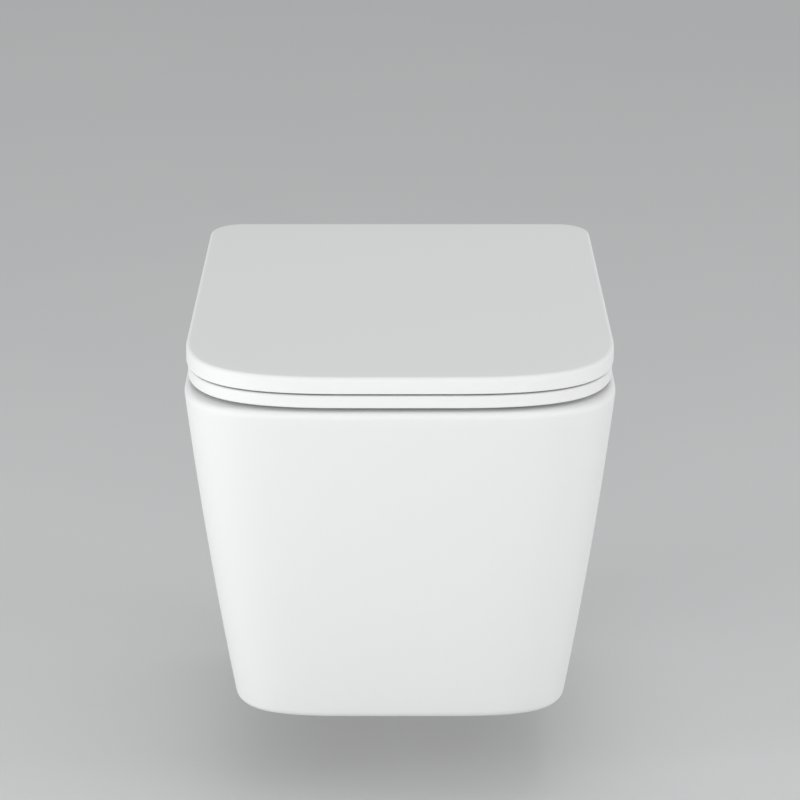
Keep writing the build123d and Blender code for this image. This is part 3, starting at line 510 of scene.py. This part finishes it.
def seat_outline(z, inset):
    """The seat's outer rings at heights z, drawn in by inset."""
    return plan_rings(
        seat_half_front - inset,
        seat_half_rear - inset,
        seat_rear - inset,
        seat_front + inset,
        front_bow,
        seat_corner - inset,
        seat_rear_corner - inset,
        soft_corner,
        z,
    )


def opening_outline(z, grow):
    """The rings of the seat's opening at heights z, grown outwards."""
    return plan_rings(
        open_half + grow,
        open_half + grow,
        open_rear + grow,
        open_front - grow,
        small_bow,
        open_front_corner + grow,
        open_rear_corner + grow,
        round_corner,
        z,
    )


def seat_ring():
    """The ring's section carried round: outer side, rounded top edge, top, soft inner edge, opening and
    underside."""
    low, high, inner = quarter(4), quarter(6), quarter(8)
    top_outer = seat_outline(np.array([seat_top]), seat_top_edge)
    top_inner = opening_outline(np.array([seat_top]), open_soft)
    low_outer = seat_outline(np.array([seat_z]), seat_low_edge)
    low_inner = opening_outline(np.array([seat_z]), 1 * mm)
    over_top = (np.arange(1, 8) / 8)[:, None, None]
    return np.concatenate(
        [
            seat_outline(seat_z + seat_low_edge * (1 - np.sin(low)), seat_low_edge * (1 - np.cos(low)))[::-1],
            seat_outline(np.linspace(seat_z + seat_low_edge, seat_top - seat_top_edge, 5)[1:-1], 0),
            seat_outline(seat_top - seat_top_edge * (1 - np.sin(high)), seat_top_edge * (1 - np.cos(high))),
            top_outer * (1 - over_top) + top_inner * over_top,
            opening_outline(seat_top - open_edge * (1 - np.cos(inner)), open_soft * (1 - np.sin(inner))),
            opening_outline(np.linspace(seat_top - open_edge, seat_z + 1 * mm, 4)[1:], 0),
            low_inner * (1 - over_top) + low_outer * over_top,
        ]
    )


def rounded_box(low, high, corner, flare):
    """A box with round upright corners, which widens by the flare over its last stretch and so leaves a
    rounded edge in what it is cut from."""
    low, high = np.asarray(low, float), np.asarray(high, float)
    steps = quarter(6)
    rings = []
    bend = quarter(5)
    heights = [low[2], *(high[2] - flare + flare * np.sin(bend)), high[2] + 5 * mm]
    grows = [0, *(flare * (1 - np.cos(bend))), flare]
    for z, grow in zip(heights, grows):
        ring = []
        middle, reach = (low + high)[:2] / 2, (high - low)[:2] / 2 - corner
        for sx, sy, start in ((1, 1, 0), (-1, 1, 0.5), (-1, -1, 1), (1, -1, 1.5)):
            angle = start * math.pi + steps
            x = middle[0] + sx * reach[0] + (corner + grow) * np.cos(angle)
            y = middle[1] + sy * reach[1] + (corner + grow) * np.sin(angle)
            ring.append(np.stack([x, y, np.full(len(angle), z)], axis=1))
        rings.append(np.concatenate(ring))
    return closed_piece("box", np.array(rings))


def bar(profile, x_low, x_high):
    """A closed prism of a (y, z) profile between two x places."""
    y, z = np.asarray(profile, float).T
    rings = [np.stack([np.full(len(y), x), y, z], axis=1) for x in (x_low, x_high)]
    return closed_piece("bar", np.array(rings))


def barrel(x_from, x_to, radius, edge):
    """A round lug along the hinge line with its two ends rounded by edge."""
    length = abs(x_to - x_from)
    turn_in = quarter(4)
    start = [(edge * (1 - math.sin(a)), radius - edge * (1 - math.cos(a))) for a in turn_in[::-1]]
    profile = start + [(length - place, size) for place, size in start[::-1]]
    return turned("barrel", (x_from, axis_y, axis_z), (math.copysign(1, x_to - x_from), 0, 0), profile, 72)


def lug_end(side, outward):
    """X of a lug's end beside the hinge block; outward is -1 for the seat's inner lugs and 1 for the
    lid's."""
    return side * (peg_x + outward * (block_half + lug_gap))


def lug_hole(side, outward):
    """The bore of a lug for its insert."""
    end = lug_end(side, outward)
    way = side * outward
    profile = [(0, insert_bore), (insert_depth + mm, insert_bore)]
    return turned("hole", (end - way * mm, axis_y, axis_z), (way, 0, 0), profile)


def pad_slot(x, y, along_y, low_z, high_z, half_length, half_width, edge=0.0):
    """A pad or its recess: a long shape with round ends, its lower edge drawn in by edge."""
    steps = np.linspace(-math.pi / 2, math.pi / 2, 13)
    straight = half_length - half_width
    bend = quarter(4)
    rings = []
    sizes = [(low_z, 0)]
    if edge:
        sizes = [(low_z + edge * (1 - math.sin(a)), edge * (1 - math.cos(a))) for a in bend[::-1]]
    for z, inset in sizes + [(high_z, 0)]:
        r = half_width - inset
        u = np.concatenate([straight + r * np.cos(steps), -straight - r * np.cos(steps)])
        v = np.concatenate([r * np.sin(steps), -r * np.sin(steps)])
        px, py = (v, u) if along_y else (u, v)
        rings.append(np.stack([x + px, y + py, np.full(len(u), z)], axis=1))
    return closed_piece("pad", np.array(rings))


pad_places = [(64 * mm, -468 * mm, False), (155 * mm, -128 * mm, True)]
pad_recess, pad_half_length, pad_half_width = 1.2 * mm, 16 * mm, 6 * mm


def make_seat():
    """The ring with its rear bridge, lugs and webs added, then notches, bores and pad recesses cut."""
    ring = closed_piece("seat_ring", seat_ring(), loop=True)
    inner_x = peg_x - seat_notch_half
    bridge_rear = axis_y - 4 * mm
    profile = [
        (seat_rear - 20 * mm, seat_z + 1 * mm),
        (bridge_rear - 1.5 * mm, seat_z + 0.0001 * mm),
        (bridge_rear - 0.4 * mm, seat_z + 0.4 * mm),
        (bridge_rear, seat_z + 1.5 * mm),
        (bridge_rear, seat_top - 2 * mm),
        (bridge_rear - 0.6 * mm, seat_top - 0.6 * mm),
        (bridge_rear - 2 * mm, seat_top - 0.0001 * mm),
        (seat_rear - 20 * mm, seat_top - 1 * mm),
    ]
    combine(ring, bar(profile, -inner_x - 5 * mm, inner_x + 5 * mm), "UNION")
    for side in (-1, 1):
        end = lug_end(side, -1)
        far = end - side * lug_length
        web = [
            (axis_y - barrel_r + 0.1 * mm, axis_z + 1 * mm),
            (axis_y - barrel_r - 2 * mm, axis_z - 1.6 * mm),
            (axis_y - barrel_r - 6 * mm, axis_z - 3.4 * mm),
            (axis_y - barrel_r - 11 * mm, seat_top + 0.01 * mm),
            (axis_y - barrel_r - 11 * mm, seat_top - 1 * mm),
            (bridge_rear, seat_top - 1 * mm),
            (bridge_rear, axis_z - barrel_r + 1.2 * mm),
            (axis_y, axis_z),
        ]
        combine(ring, bar(web, far + side * web_inset, end - side * web_inset), "UNION")
        combine(ring, barrel(far, end, barrel_r, lug_edge), "UNION")
    for side in (-1, 1):
        x_low, x_high = sorted((side * inner_x, side * (peg_x + seat_notch_half)))
        low, high = (x_low, seat_notch_front, seat_z - 1 * mm), (x_high, axis_y + barrel_r + mm, seat_top)
        combine(ring, rounded_box(low, high, seat_notch_corner, seat_notch_edge), "DIFFERENCE")
        combine(ring, lug_hole(side, -1), "DIFFERENCE")
        for x, y, along_y in pad_places:
            hole = pad_slot(side * x, y, along_y, rim_top, seat_z + pad_recess, pad_half_length, pad_half_width)
            combine(ring, hole, "DIFFERENCE")
    return smooth(ring)


def thermoset(name, tone_low, tone_high):
    """White pressed thermoset: clean gloss with a slight bloom, faint flow in the tone and a very fine orange
    peel."""
    material = bpy.data.materials.new(name)
    material.use_nodes = True
    nodes, links = material.node_tree.nodes, material.node_tree.links
    shader = nodes["Principled BSDF"]
    shader.inputs["IOR"].default_value = 1.5
    place = nodes.new("ShaderNodeTexCoord")
    flow = nodes.new("ShaderNodeTexNoise")
    flow.inputs["Scale"].default_value = 6
    flow.inputs["Detail"].default_value = 4
    flow.inputs["Distortion"].default_value = 0.6
    tone = nodes.new("ShaderNodeValToRGB")
    tone.color_ramp.elements[0].position = 0.3
    tone.color_ramp.elements[0].color = (*tone_low, 1)
    tone.color_ramp.elements[1].position = 0.7
    tone.color_ramp.elements[1].color = (*tone_high, 1)
    gloss = nodes.new("ShaderNodeMapRange")
    gloss.inputs["To Min"].default_value = 0.14
    gloss.inputs["To Max"].default_value = 0.24
    grain = nodes.new("ShaderNodeTexNoise")
    grain.inputs["Scale"].default_value = 900
    grain.inputs["Detail"].default_value = 2
    peel = nodes.new("ShaderNodeBump")
    peel.inputs["Strength"].default_value = 0.06
    peel.inputs["Distance"].default_value = 0.0001
    for texture in (flow, grain):
        links.new(place.outputs["Object"], texture.inputs["Vector"])
    links.new(flow.outputs["Fac"], tone.inputs["Fac"])
    links.new(tone.outputs["Color"], shader.inputs["Base Color"])
    links.new(flow.outputs["Fac"], gloss.inputs["Value"])
    links.new(gloss.outputs["Result"], shader.inputs["Roughness"])
    links.new(grain.outputs["Fac"], peel.inputs["Height"])
    links.new(peel.outputs["Normal"], shader.inputs["Normal"])
    return material


duroplast = thermoset("duroplast", (0.808, 0.795, 0.790), (0.834, 0.821, 0.816))
seat = make_seat()
seat.data.materials.append(duroplast)
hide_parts("seat")
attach(seat, "seat")


# Lid
# A shallow thermoset tray turned over, pressed like the seat, which covers the seat down to a thin shadow
# gap. Under it are two outer hinge lugs on short webs, four bosses for its rubber pads, and room for the
# hinge blocks.
lid_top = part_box("lid")[1].z
lid_z = lid_top - 14 * mm
lid_notch_half, lid_web_half, boss_root = 14.5 * mm, 6 * mm, 1.5 * mm
lid_half_front, lid_half_rear, lid_front, lid_rear = 181.6 * mm, 173.5 * mm, -491.2 * mm, -26.5 * mm
lid_corner, lid_rear_corner, lid_edge, lid_wall, lid_top_wall = 94 * mm, 29 * mm, 4 * mm, 4 * mm, 3.5 * mm
ceiling = lid_top - lid_top_wall
boss_r, lid_pad_r, lid_pad_height = 8 * mm, 6 * mm, 4 * mm
lid_pad_places = [(side * 92 * mm, y) for side in (-1, 1) for y in (-452 * mm, -104 * mm)]


def lid_outline(z, inset):
    """The lid's rings at heights z, drawn in by inset."""
    return plan_rings(
        lid_half_front - inset,
        lid_half_rear - inset,
        lid_rear - inset,
        lid_front + inset,
        front_bow,
        lid_corner - inset,
        lid_rear_corner - inset,
        soft_corner,
        z,
    )


def lid_tray():
    """The tray's surface: from the ceiling's middle out to its rounded corner, down the inner wall, round the
    rim, up the side and over the rounded edge onto the top."""
    flat = np.array([130, 90, 50, 20]) * mm
    inner, rim, edge = quarter(5), quarter(4), quarter(9)
    cove, rim_r = 3 * mm, 0.6 * mm
    return np.concatenate(
        [
            lid_outline(np.full(4, ceiling), lid_wall + flat),
            lid_outline(ceiling - cove * (1 - np.cos(inner)), lid_wall + cove * (1 - np.sin(inner))),
            lid_outline(np.linspace(ceiling - cove, lid_z + rim_r, 5)[1:-1], lid_wall),
            lid_outline(lid_z + rim_r * (1 - np.sin(rim)), lid_wall - rim_r * (1 - np.cos(rim))),
            lid_outline(lid_z + rim_r * (1 - np.sin(rim))[::-1], rim_r * (1 - np.cos(rim))[::-1]),
            lid_outline(np.linspace(lid_z + rim_r, lid_top - lid_edge, 5)[1:-1], 0),
            lid_outline(lid_top - lid_edge * (1 - np.sin(edge)), lid_edge * (1 - np.cos(edge))),
            lid_outline(np.full(4, lid_top), lid_edge + flat[::-1]),
        ]
    )


def make_lid():
    """The tray with webs, lugs and bosses added, then the room for the hinge blocks and the insert bores
    cut."""
    tray = closed_piece("lid_tray", lid_tray())
    for side in (-1, 1):
        end = lug_end(side, 1)
        far = end + side * lug_length
        x_low, x_high = sorted((end + side * web_inset, far - side * web_inset))
        web = slab((x_low, axis_y - lid_web_half, axis_z), (x_high, axis_y + lid_web_half, ceiling + mm))
        combine(tray, web, "UNION")
        combine(tray, barrel(end, far, barrel_r, lug_edge), "UNION")
    for x, y in lid_pad_places:
        low = seat_top + lid_pad_height
        tall, turns = ceiling - low, quarter(4)[::-1]
        flare = [(tall - boss_root * math.cos(a), boss_r + boss_root * (1 - math.sin(a))) for a in turns]
        profile = [(0, boss_r - 0.4 * mm), (0.4 * mm, boss_r)] + flare + [(tall + mm, boss_r + boss_root)]
        combine(tray, turned("boss", (x, y, low), (0, 0, 1), profile), "UNION")
    for side in (-1, 1):
        x_low, x_high = sorted((side * (peg_x - lid_notch_half), side * (peg_x + lid_notch_half)))
        combine(tray, slab((x_low, axis_y, lid_z - mm), (x_high, 0, ceiling)), "DIFFERENCE")
        combine(tray, lug_hole(side, 1), "DIFFERENCE")
    return smooth(tray)


lid = make_lid()
lid.data.materials.append(duroplast)
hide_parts("lid")
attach(lid, "lid")


# Pads
# Soft light grey pads pressed into the underside of seat and lid: four long ones below the seat, four buttons
# below the lid. Each has a rounded lower edge that takes the load.
def finish(name, dark, pale, rough, grain, bump, metallic=0.0):
    """A plain moulded, drawn or plated surface: grain gives the noise's scale along x, y and z, and the noise
    moves tone between dark and pale, roughness between the two in rough, and height by bump metres."""
    material = bpy.data.materials.new(name)
    material.use_nodes = True
    nodes, links = material.node_tree.nodes, material.node_tree.links
    shader = nodes["Principled BSDF"]
    shader.inputs["Metallic"].default_value = metallic
    place, stretch = nodes.new("ShaderNodeTexCoord"), nodes.new("ShaderNodeMapping")
    stretch.inputs["Scale"].default_value = grain
    noise, wear = nodes.new("ShaderNodeTexNoise"), nodes.new("ShaderNodeTexNoise")
    noise.inputs["Scale"].default_value = 1
    noise.inputs["Detail"].default_value = 3
    wear.inputs["Scale"].default_value = 35
    wear.inputs["Detail"].default_value = 3
    tone = nodes.new("ShaderNodeValToRGB")
    tone.color_ramp.elements[0].position, tone.color_ramp.elements[1].position = 0.3, 0.7
    tone.color_ramp.elements[0].color, tone.color_ramp.elements[1].color = (*dark, 1), (*pale, 1)
    gloss, height = nodes.new("ShaderNodeMapRange"), nodes.new("ShaderNodeBump")
    gloss.inputs["To Min"].default_value, gloss.inputs["To Max"].default_value = rough
    height.inputs["Strength"].default_value = 0.5
    height.inputs["Distance"].default_value = bump
    links.new(place.outputs["Object"], stretch.inputs["Vector"])
    links.new(place.outputs["Object"], wear.inputs["Vector"])
    links.new(stretch.outputs["Vector"], noise.inputs["Vector"])
    links.new(wear.outputs["Fac"], tone.inputs["Fac"])
    links.new(tone.outputs["Color"], shader.inputs["Base Color"])
    links.new(noise.outputs["Fac"], gloss.inputs["Value"])
    links.new(gloss.outputs["Result"], shader.inputs["Roughness"])
    links.new(noise.outputs["Fac"], height.inputs["Height"])
    links.new(height.outputs["Normal"], shader.inputs["Normal"])
    return material


def dress(piece, material, node, body):
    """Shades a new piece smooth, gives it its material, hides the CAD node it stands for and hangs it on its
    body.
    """
    smooth(piece)
    piece.data.materials.append(material)
    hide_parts(node)
    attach(piece, body)


def joined(name, parts):
    """Several separate closed meshes as one piece."""
    work = bmesh.new()
    for part in parts:
        work.from_mesh(part.data)
        bpy.data.objects.remove(part)
    mesh = bpy.data.meshes.new(name)
    work.to_mesh(mesh)
    work.free()
    piece = bpy.data.objects.new(name, mesh)
    bpy.context.scene.collection.objects.link(piece)
    return piece


pad_tones = (0.60, 0.60, 0.59), (0.70, 0.70, 0.69)
pad_rubber = finish("pad_rubber", *pad_tones, (0.45, 0.62), (700, 700, 700), 0.00004)
seat_pads = [
    pad_slot(side * x, y, along_y, rim_top, seat_z + pad_recess, pad_half_length, pad_half_width, 1.2 * mm)
    for x, y, along_y in pad_places
    for side in (-1, 1)
]
dress(joined("seat_pads", seat_pads), pad_rubber, "seat_buffers", "seat")
button = [(0, 3.4 * mm), (0.3 * mm, 4.8 * mm), (0.9 * mm, 5.7 * mm)]
button += [(1.6 * mm, lid_pad_r), (lid_pad_height, lid_pad_r)]
lid_pads = [turned("pad", (x, y, seat_top), (0, 0, 1), button, 48) for x, y in lid_pad_places]
dress(joined("lid_pads", lid_pads), pad_rubber, "lid_buffers", "lid")


# Side caps
# A domed white plastic cap over each side fixing hole, square to the slanted flank.
# It is moulded with a plug that presses into the hole, and prises off to reach the screw.
cap_r, cap_rise, cap_lip, cap_round = 13 * mm, 2.2 * mm, 0.9 * mm, 1.4 * mm
cap_plug = 9.4 * mm
cap_plastic = thermoset("cap_plastic", (0.80, 0.80, 0.795), (0.83, 0.83, 0.825))
for side, label in ((-1, "left"), (1, "right")):
    start, out = flank_line(side, hole_y, 0)
    bend = quarter(8)
    dome = [(-6 * mm, cap_plug), (0, cap_plug), (0.01 * mm, cap_r - 0.3 * mm), (0.5 * mm, cap_r)]
    rises, shrinks = cap_lip + (cap_rise - cap_lip) * np.sin(bend), cap_round * (1 - np.cos(bend))
    dome += list(zip(rises, cap_r - shrinks))
    dome += [(cap_rise, cap_r * share) for share in (0.6, 0.3)]
    cap = turned("side_cap_" + label, start, out, dome)
    dress(cap, cap_plastic, "cover_cap_" + label, "pan")


# Hinge rosettes
# Turned stainless plates between ceramic and hinge block, with a bevelled edge and a fine turned grain.
# The shank of each peg passes through its plate and clamps it to the deck.
steel_tones = (0.55, 0.55, 0.545), (0.64, 0.64, 0.635)
hinge_steel = finish("hinge_steel", *steel_tones, (0.2, 0.34), (900, 60, 900), 0.00002, 1.0)
for side, label in ((-1, "left"), (1, "right")):
    disc = [(0, 4.3 * mm), (0, 21.9 * mm), (0.1 * mm, 22 * mm), (1.2 * mm, 22 * mm), (1.5 * mm, 21.85 * mm)]
    disc += [(1.85 * mm, 21.5 * mm), (2 * mm, 21 * mm), (2 * mm, 12 * mm), (2 * mm, 4.3 * mm)]
    plate = turned("rosette_plate_" + label, (side * peg_x, peg_y, rim_top), (0, 0, 1), disc)
    dress(plate, hinge_steel, "rosette_" + label, "pan")


# Flush seal
# A black rubber sleeve moulded with a flange, which seals the flush pipe in the inlet.
# It is pushed into the inlet's bore from behind, up to its flange.
rubber_tones = (0.022, 0.022, 0.022), (0.035, 0.035, 0.034)
seal_rubber = finish("seal_rubber", *rubber_tones, (0.5, 0.7), (500, 500, 500), 0.00005)
sleeve = [(0, 24 * mm), (0, 26.5 * mm), (1 * mm, 27.5 * mm), (34 * mm, 27.5 * mm), (34.2 * mm, 30.5 * mm)]
sleeve += [(34.7 * mm, 31 * mm), (37.5 * mm, 31 * mm), (38 * mm, 30.5 * mm), (38 * mm, 24 * mm)]
sleeve += [(36.5 * mm, 22.5 * mm), (1 * mm, 22.5 * mm)]


def lathe_loop(name, origin, direction, profile, around=72):
    """A turned piece with a hole right through it: the profile is a closed loop of (distance, radius)."""
    part = turned("part", origin, direction, profile, around)
    points = np.array([vertex.co for vertex in part.data.vertices])[: len(profile) * around]
    bpy.data.objects.remove(part)
    return closed_piece(name, points.reshape(len(profile), around, 3), loop=True)


seal = lathe_loop("seal", (0, -46 * mm, inlet_z), (0, 1, 0), sleeve)
dress(seal, seal_rubber, "flush_inlet_seal", "pan")


# Button springs
# A short compression spring of drawn steel wire behind each release button.
# It sits in a pocket of the hinge block, and is drawn at one length.
wire_tones = (0.38, 0.38, 0.38), (0.50, 0.50, 0.50)
spring_steel = finish("spring_steel", *wire_tones, (0.25, 0.4), (600, 600, 600), 0.00002, 1.0)
spring_x = 8.9 * mm
coil_r, wire_r, coil_turns, button_travel = 1.5 * mm, 0.2 * mm, 7, 2.5 * mm
coil_front, coil_rear, coil_z = -75 * mm, -64 * mm, rim_top + 9.25 * mm


def coil(name, x):
    """A helix of round wire between the button's back and the pocket's floor: x and z go round as y goes
    back."""
    share = np.linspace(0, 1, coil_turns * 28 + 1)
    angle = 2 * math.pi * coil_turns * share
    y = coil_front + wire_r + (coil_rear - coil_front - 2 * wire_r) * share
    out = np.stack([np.cos(angle), 0 * angle, np.sin(angle)], axis=1)
    centre = np.array([x, 0, coil_z]) + coil_r * out
    centre[:, 1] = y
    around = np.linspace(0, 2 * math.pi, 12, endpoint=False)
    back = np.array([0, 1, 0])
    ring = out[:, None] * np.cos(around)[:, None] + back * np.sin(around)[:, None]
    return closed_piece(name, centre[:, None] + wire_r * ring)


for side, label in ((-1, "left"), (1, "right")):
    spring = coil("button_spring_" + label, side * (peg_x + spring_x))
    dress(spring, spring_steel, "release_spring_" + label, "pan")
    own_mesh(spring)


# Fittings
# The nodes whose CAD shape is right as it is: hinge blocks and buttons, pins, dampers, pegs, bushes and
# brackets. They keep their meshes, and each gets its finish: moulded, turned, plated or drawn.
plain_finishes = {
    "hinge_plastic": ((0.66, 0.66, 0.66), (0.74, 0.74, 0.74), (0.32, 0.48), (1200, 1200, 1200), 0.00003),
    "button_plastic": ((0.36, 0.37, 0.39), (0.43, 0.44, 0.46), (0.35, 0.5), (1100, 1100, 1100), 0.00003),
    "damper_plastic": ((0.04, 0.04, 0.042), (0.06, 0.06, 0.062), (0.35, 0.5), (900, 900, 900), 0.00003),
    "bush_rubber": ((0.028, 0.028, 0.028), (0.045, 0.045, 0.045), (0.55, 0.75), (450, 450, 450), 0.00006),
    "zinc_steel": ((0.46, 0.47, 0.48), (0.62, 0.62, 0.61), (0.3, 0.5), (220, 220, 220), 0.00003, 1.0),
    "brass": ((0.58, 0.42, 0.18), (0.70, 0.52, 0.25), (0.22, 0.36), (80, 80, 1400), 0.00002, 1.0),
    "sleeve_plastic": ((0.62, 0.61, 0.57), (0.70, 0.69, 0.65), (0.35, 0.5), (900, 900, 900), 0.00003),
}
fittings = {"hinge_steel": hinge_steel, "seal_rubber": seal_rubber}
fittings |= {slot_name: finish(slot_name, *values) for slot_name, values in plain_finishes.items()}
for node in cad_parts.values():
    for place in node.material_slots:
        for slot_name, material in fittings.items():
            if place.material and place.material.name.split(".")[0] == slot_name:
                place.material = material


# Stage, light and camera
# A pale floor well below the foot, a plain pale surround and four soft lamps: a wide one in front, one at
# each side and one overhead. The camera has a long lens and looks down on the lid.
floor_drop = 77 * mm
world_light, world_grey = 0.93, (0.60, 0.605, 0.61, 1)
floor_half, floor_cells = 14, 14


def plain_floor():
    """A wide flat grid in pale grey with a faint mottle."""
    side = np.linspace(-floor_half, floor_half, floor_cells + 1)
    x, y = np.meshgrid(side, side, indexing="ij")
    points = np.stack([x, y, np.full(x.shape, foot_low - floor_drop)], axis=2).reshape(-1, 3)
    row, col = np.meshgrid(np.arange(floor_cells), np.arange(floor_cells), indexing="ij")
    across = floor_cells + 1
    first = (row * across + col).ravel()
    faces = np.stack([first, first + across, first + across + 1, first + 1], axis=1)
    mesh = bpy.data.meshes.new("floor")
    mesh.from_pydata(points.tolist(), [], faces.tolist())
    floor = bpy.data.objects.new("floor", mesh)
    bpy.context.scene.collection.objects.link(floor)
    material = bpy.data.materials.new("floor_paint")
    material.use_nodes = True
    nodes, links = material.node_tree.nodes, material.node_tree.links
    shader = nodes["Principled BSDF"]
    shader.inputs["Roughness"].default_value = 0.75
    place = nodes.new("ShaderNodeTexCoord")
    mottle = nodes.new("ShaderNodeTexNoise")
    mottle.inputs["Scale"].default_value = 1.5
    tone = nodes.new("ShaderNodeValToRGB")
    tone.color_ramp.elements[0].color = (0.62, 0.62, 0.625, 1)
    tone.color_ramp.elements[1].color = (0.66, 0.66, 0.66, 1)
    links.new(place.outputs["Object"], mottle.inputs["Vector"])
    links.new(mottle.outputs["Fac"], tone.inputs["Fac"])
    links.new(tone.outputs["Color"], shader.inputs["Base Color"])
    floor.data.materials.append(material)


def surround():
    """The world: an even soft grey, a little dimmer as light than as the camera and glossy surfaces see
    it."""
    world = bpy.data.worlds.new("surround")
    bpy.context.scene.world = world
    world.use_nodes = True
    nodes, links = world.node_tree.nodes, world.node_tree.links
    light = nodes["Background"]
    light.inputs["Color"].default_value = world_grey
    light.inputs["Strength"].default_value = world_light
    seen = nodes.new("ShaderNodeBackground")
    seen.inputs["Color"].default_value = world_grey
    path = nodes.new("ShaderNodeLightPath")
    either = nodes.new("ShaderNodeMath")
    either.operation = "MAXIMUM"
    both = nodes.new("ShaderNodeMixShader")
    links.new(path.outputs["Is Camera Ray"], either.inputs[0])
    links.new(path.outputs["Is Glossy Ray"], either.inputs[1])
    links.new(either.outputs["Value"], both.inputs["Fac"])
    links.new(light.outputs["Background"], both.inputs[1])
    links.new(seen.outputs["Background"], both.inputs[2])
    links.new(both.outputs["Shader"], nodes["World Output"].inputs["Surface"])


def lamp(name, place, aim, size, power):
    """A soft rectangular lamp at a place, aimed at a point."""
    data = bpy.data.lights.new(name, "AREA")
    data.shape = "RECTANGLE"
    data.size, data.size_y = size
    data.energy = power
    lamp_object = bpy.data.objects.new(name, data)
    bpy.context.scene.collection.objects.link(lamp_object)
    lamp_object.location = place
    heading = np.array(aim) - np.array(place)
    lamp_object.rotation_euler = Vector(heading).to_track_quat("-Z", "Y").to_euler()


plain_floor()
surround()
lamp("front_lamp", (-0.9, -3.4, 0.2), (0, -0.3, 0), (2.4, 0.9), 35)
lamp("left_lamp", (-2.2, -1.5, 0.4), (0, -0.3, 0), (0.7, 1.2), 18)
lamp("right_lamp", (2.3, -1.0, 0.4), (0, -0.3, 0), (0.7, 1.2), 16.5)
lamp("top_lamp", (0.3, -0.2, 2.6), (0, -0.3, 0), (1.6, 1.6), 10.5)

look_down = 18.3
eye = bpy.data.cameras.new("camera")
eye.sensor_width = 36
eye.lens = 179.6
camera = bpy.data.objects.new("camera", eye)
bpy.context.scene.collection.objects.link(camera)
camera.location = (0, -3.5869, 1.115)
camera.rotation_euler = (math.radians(90 - look_down), 0, 0)
bpy.context.scene.camera = camera
bpy.context.scene.view_settings.view_transform = "Standard"
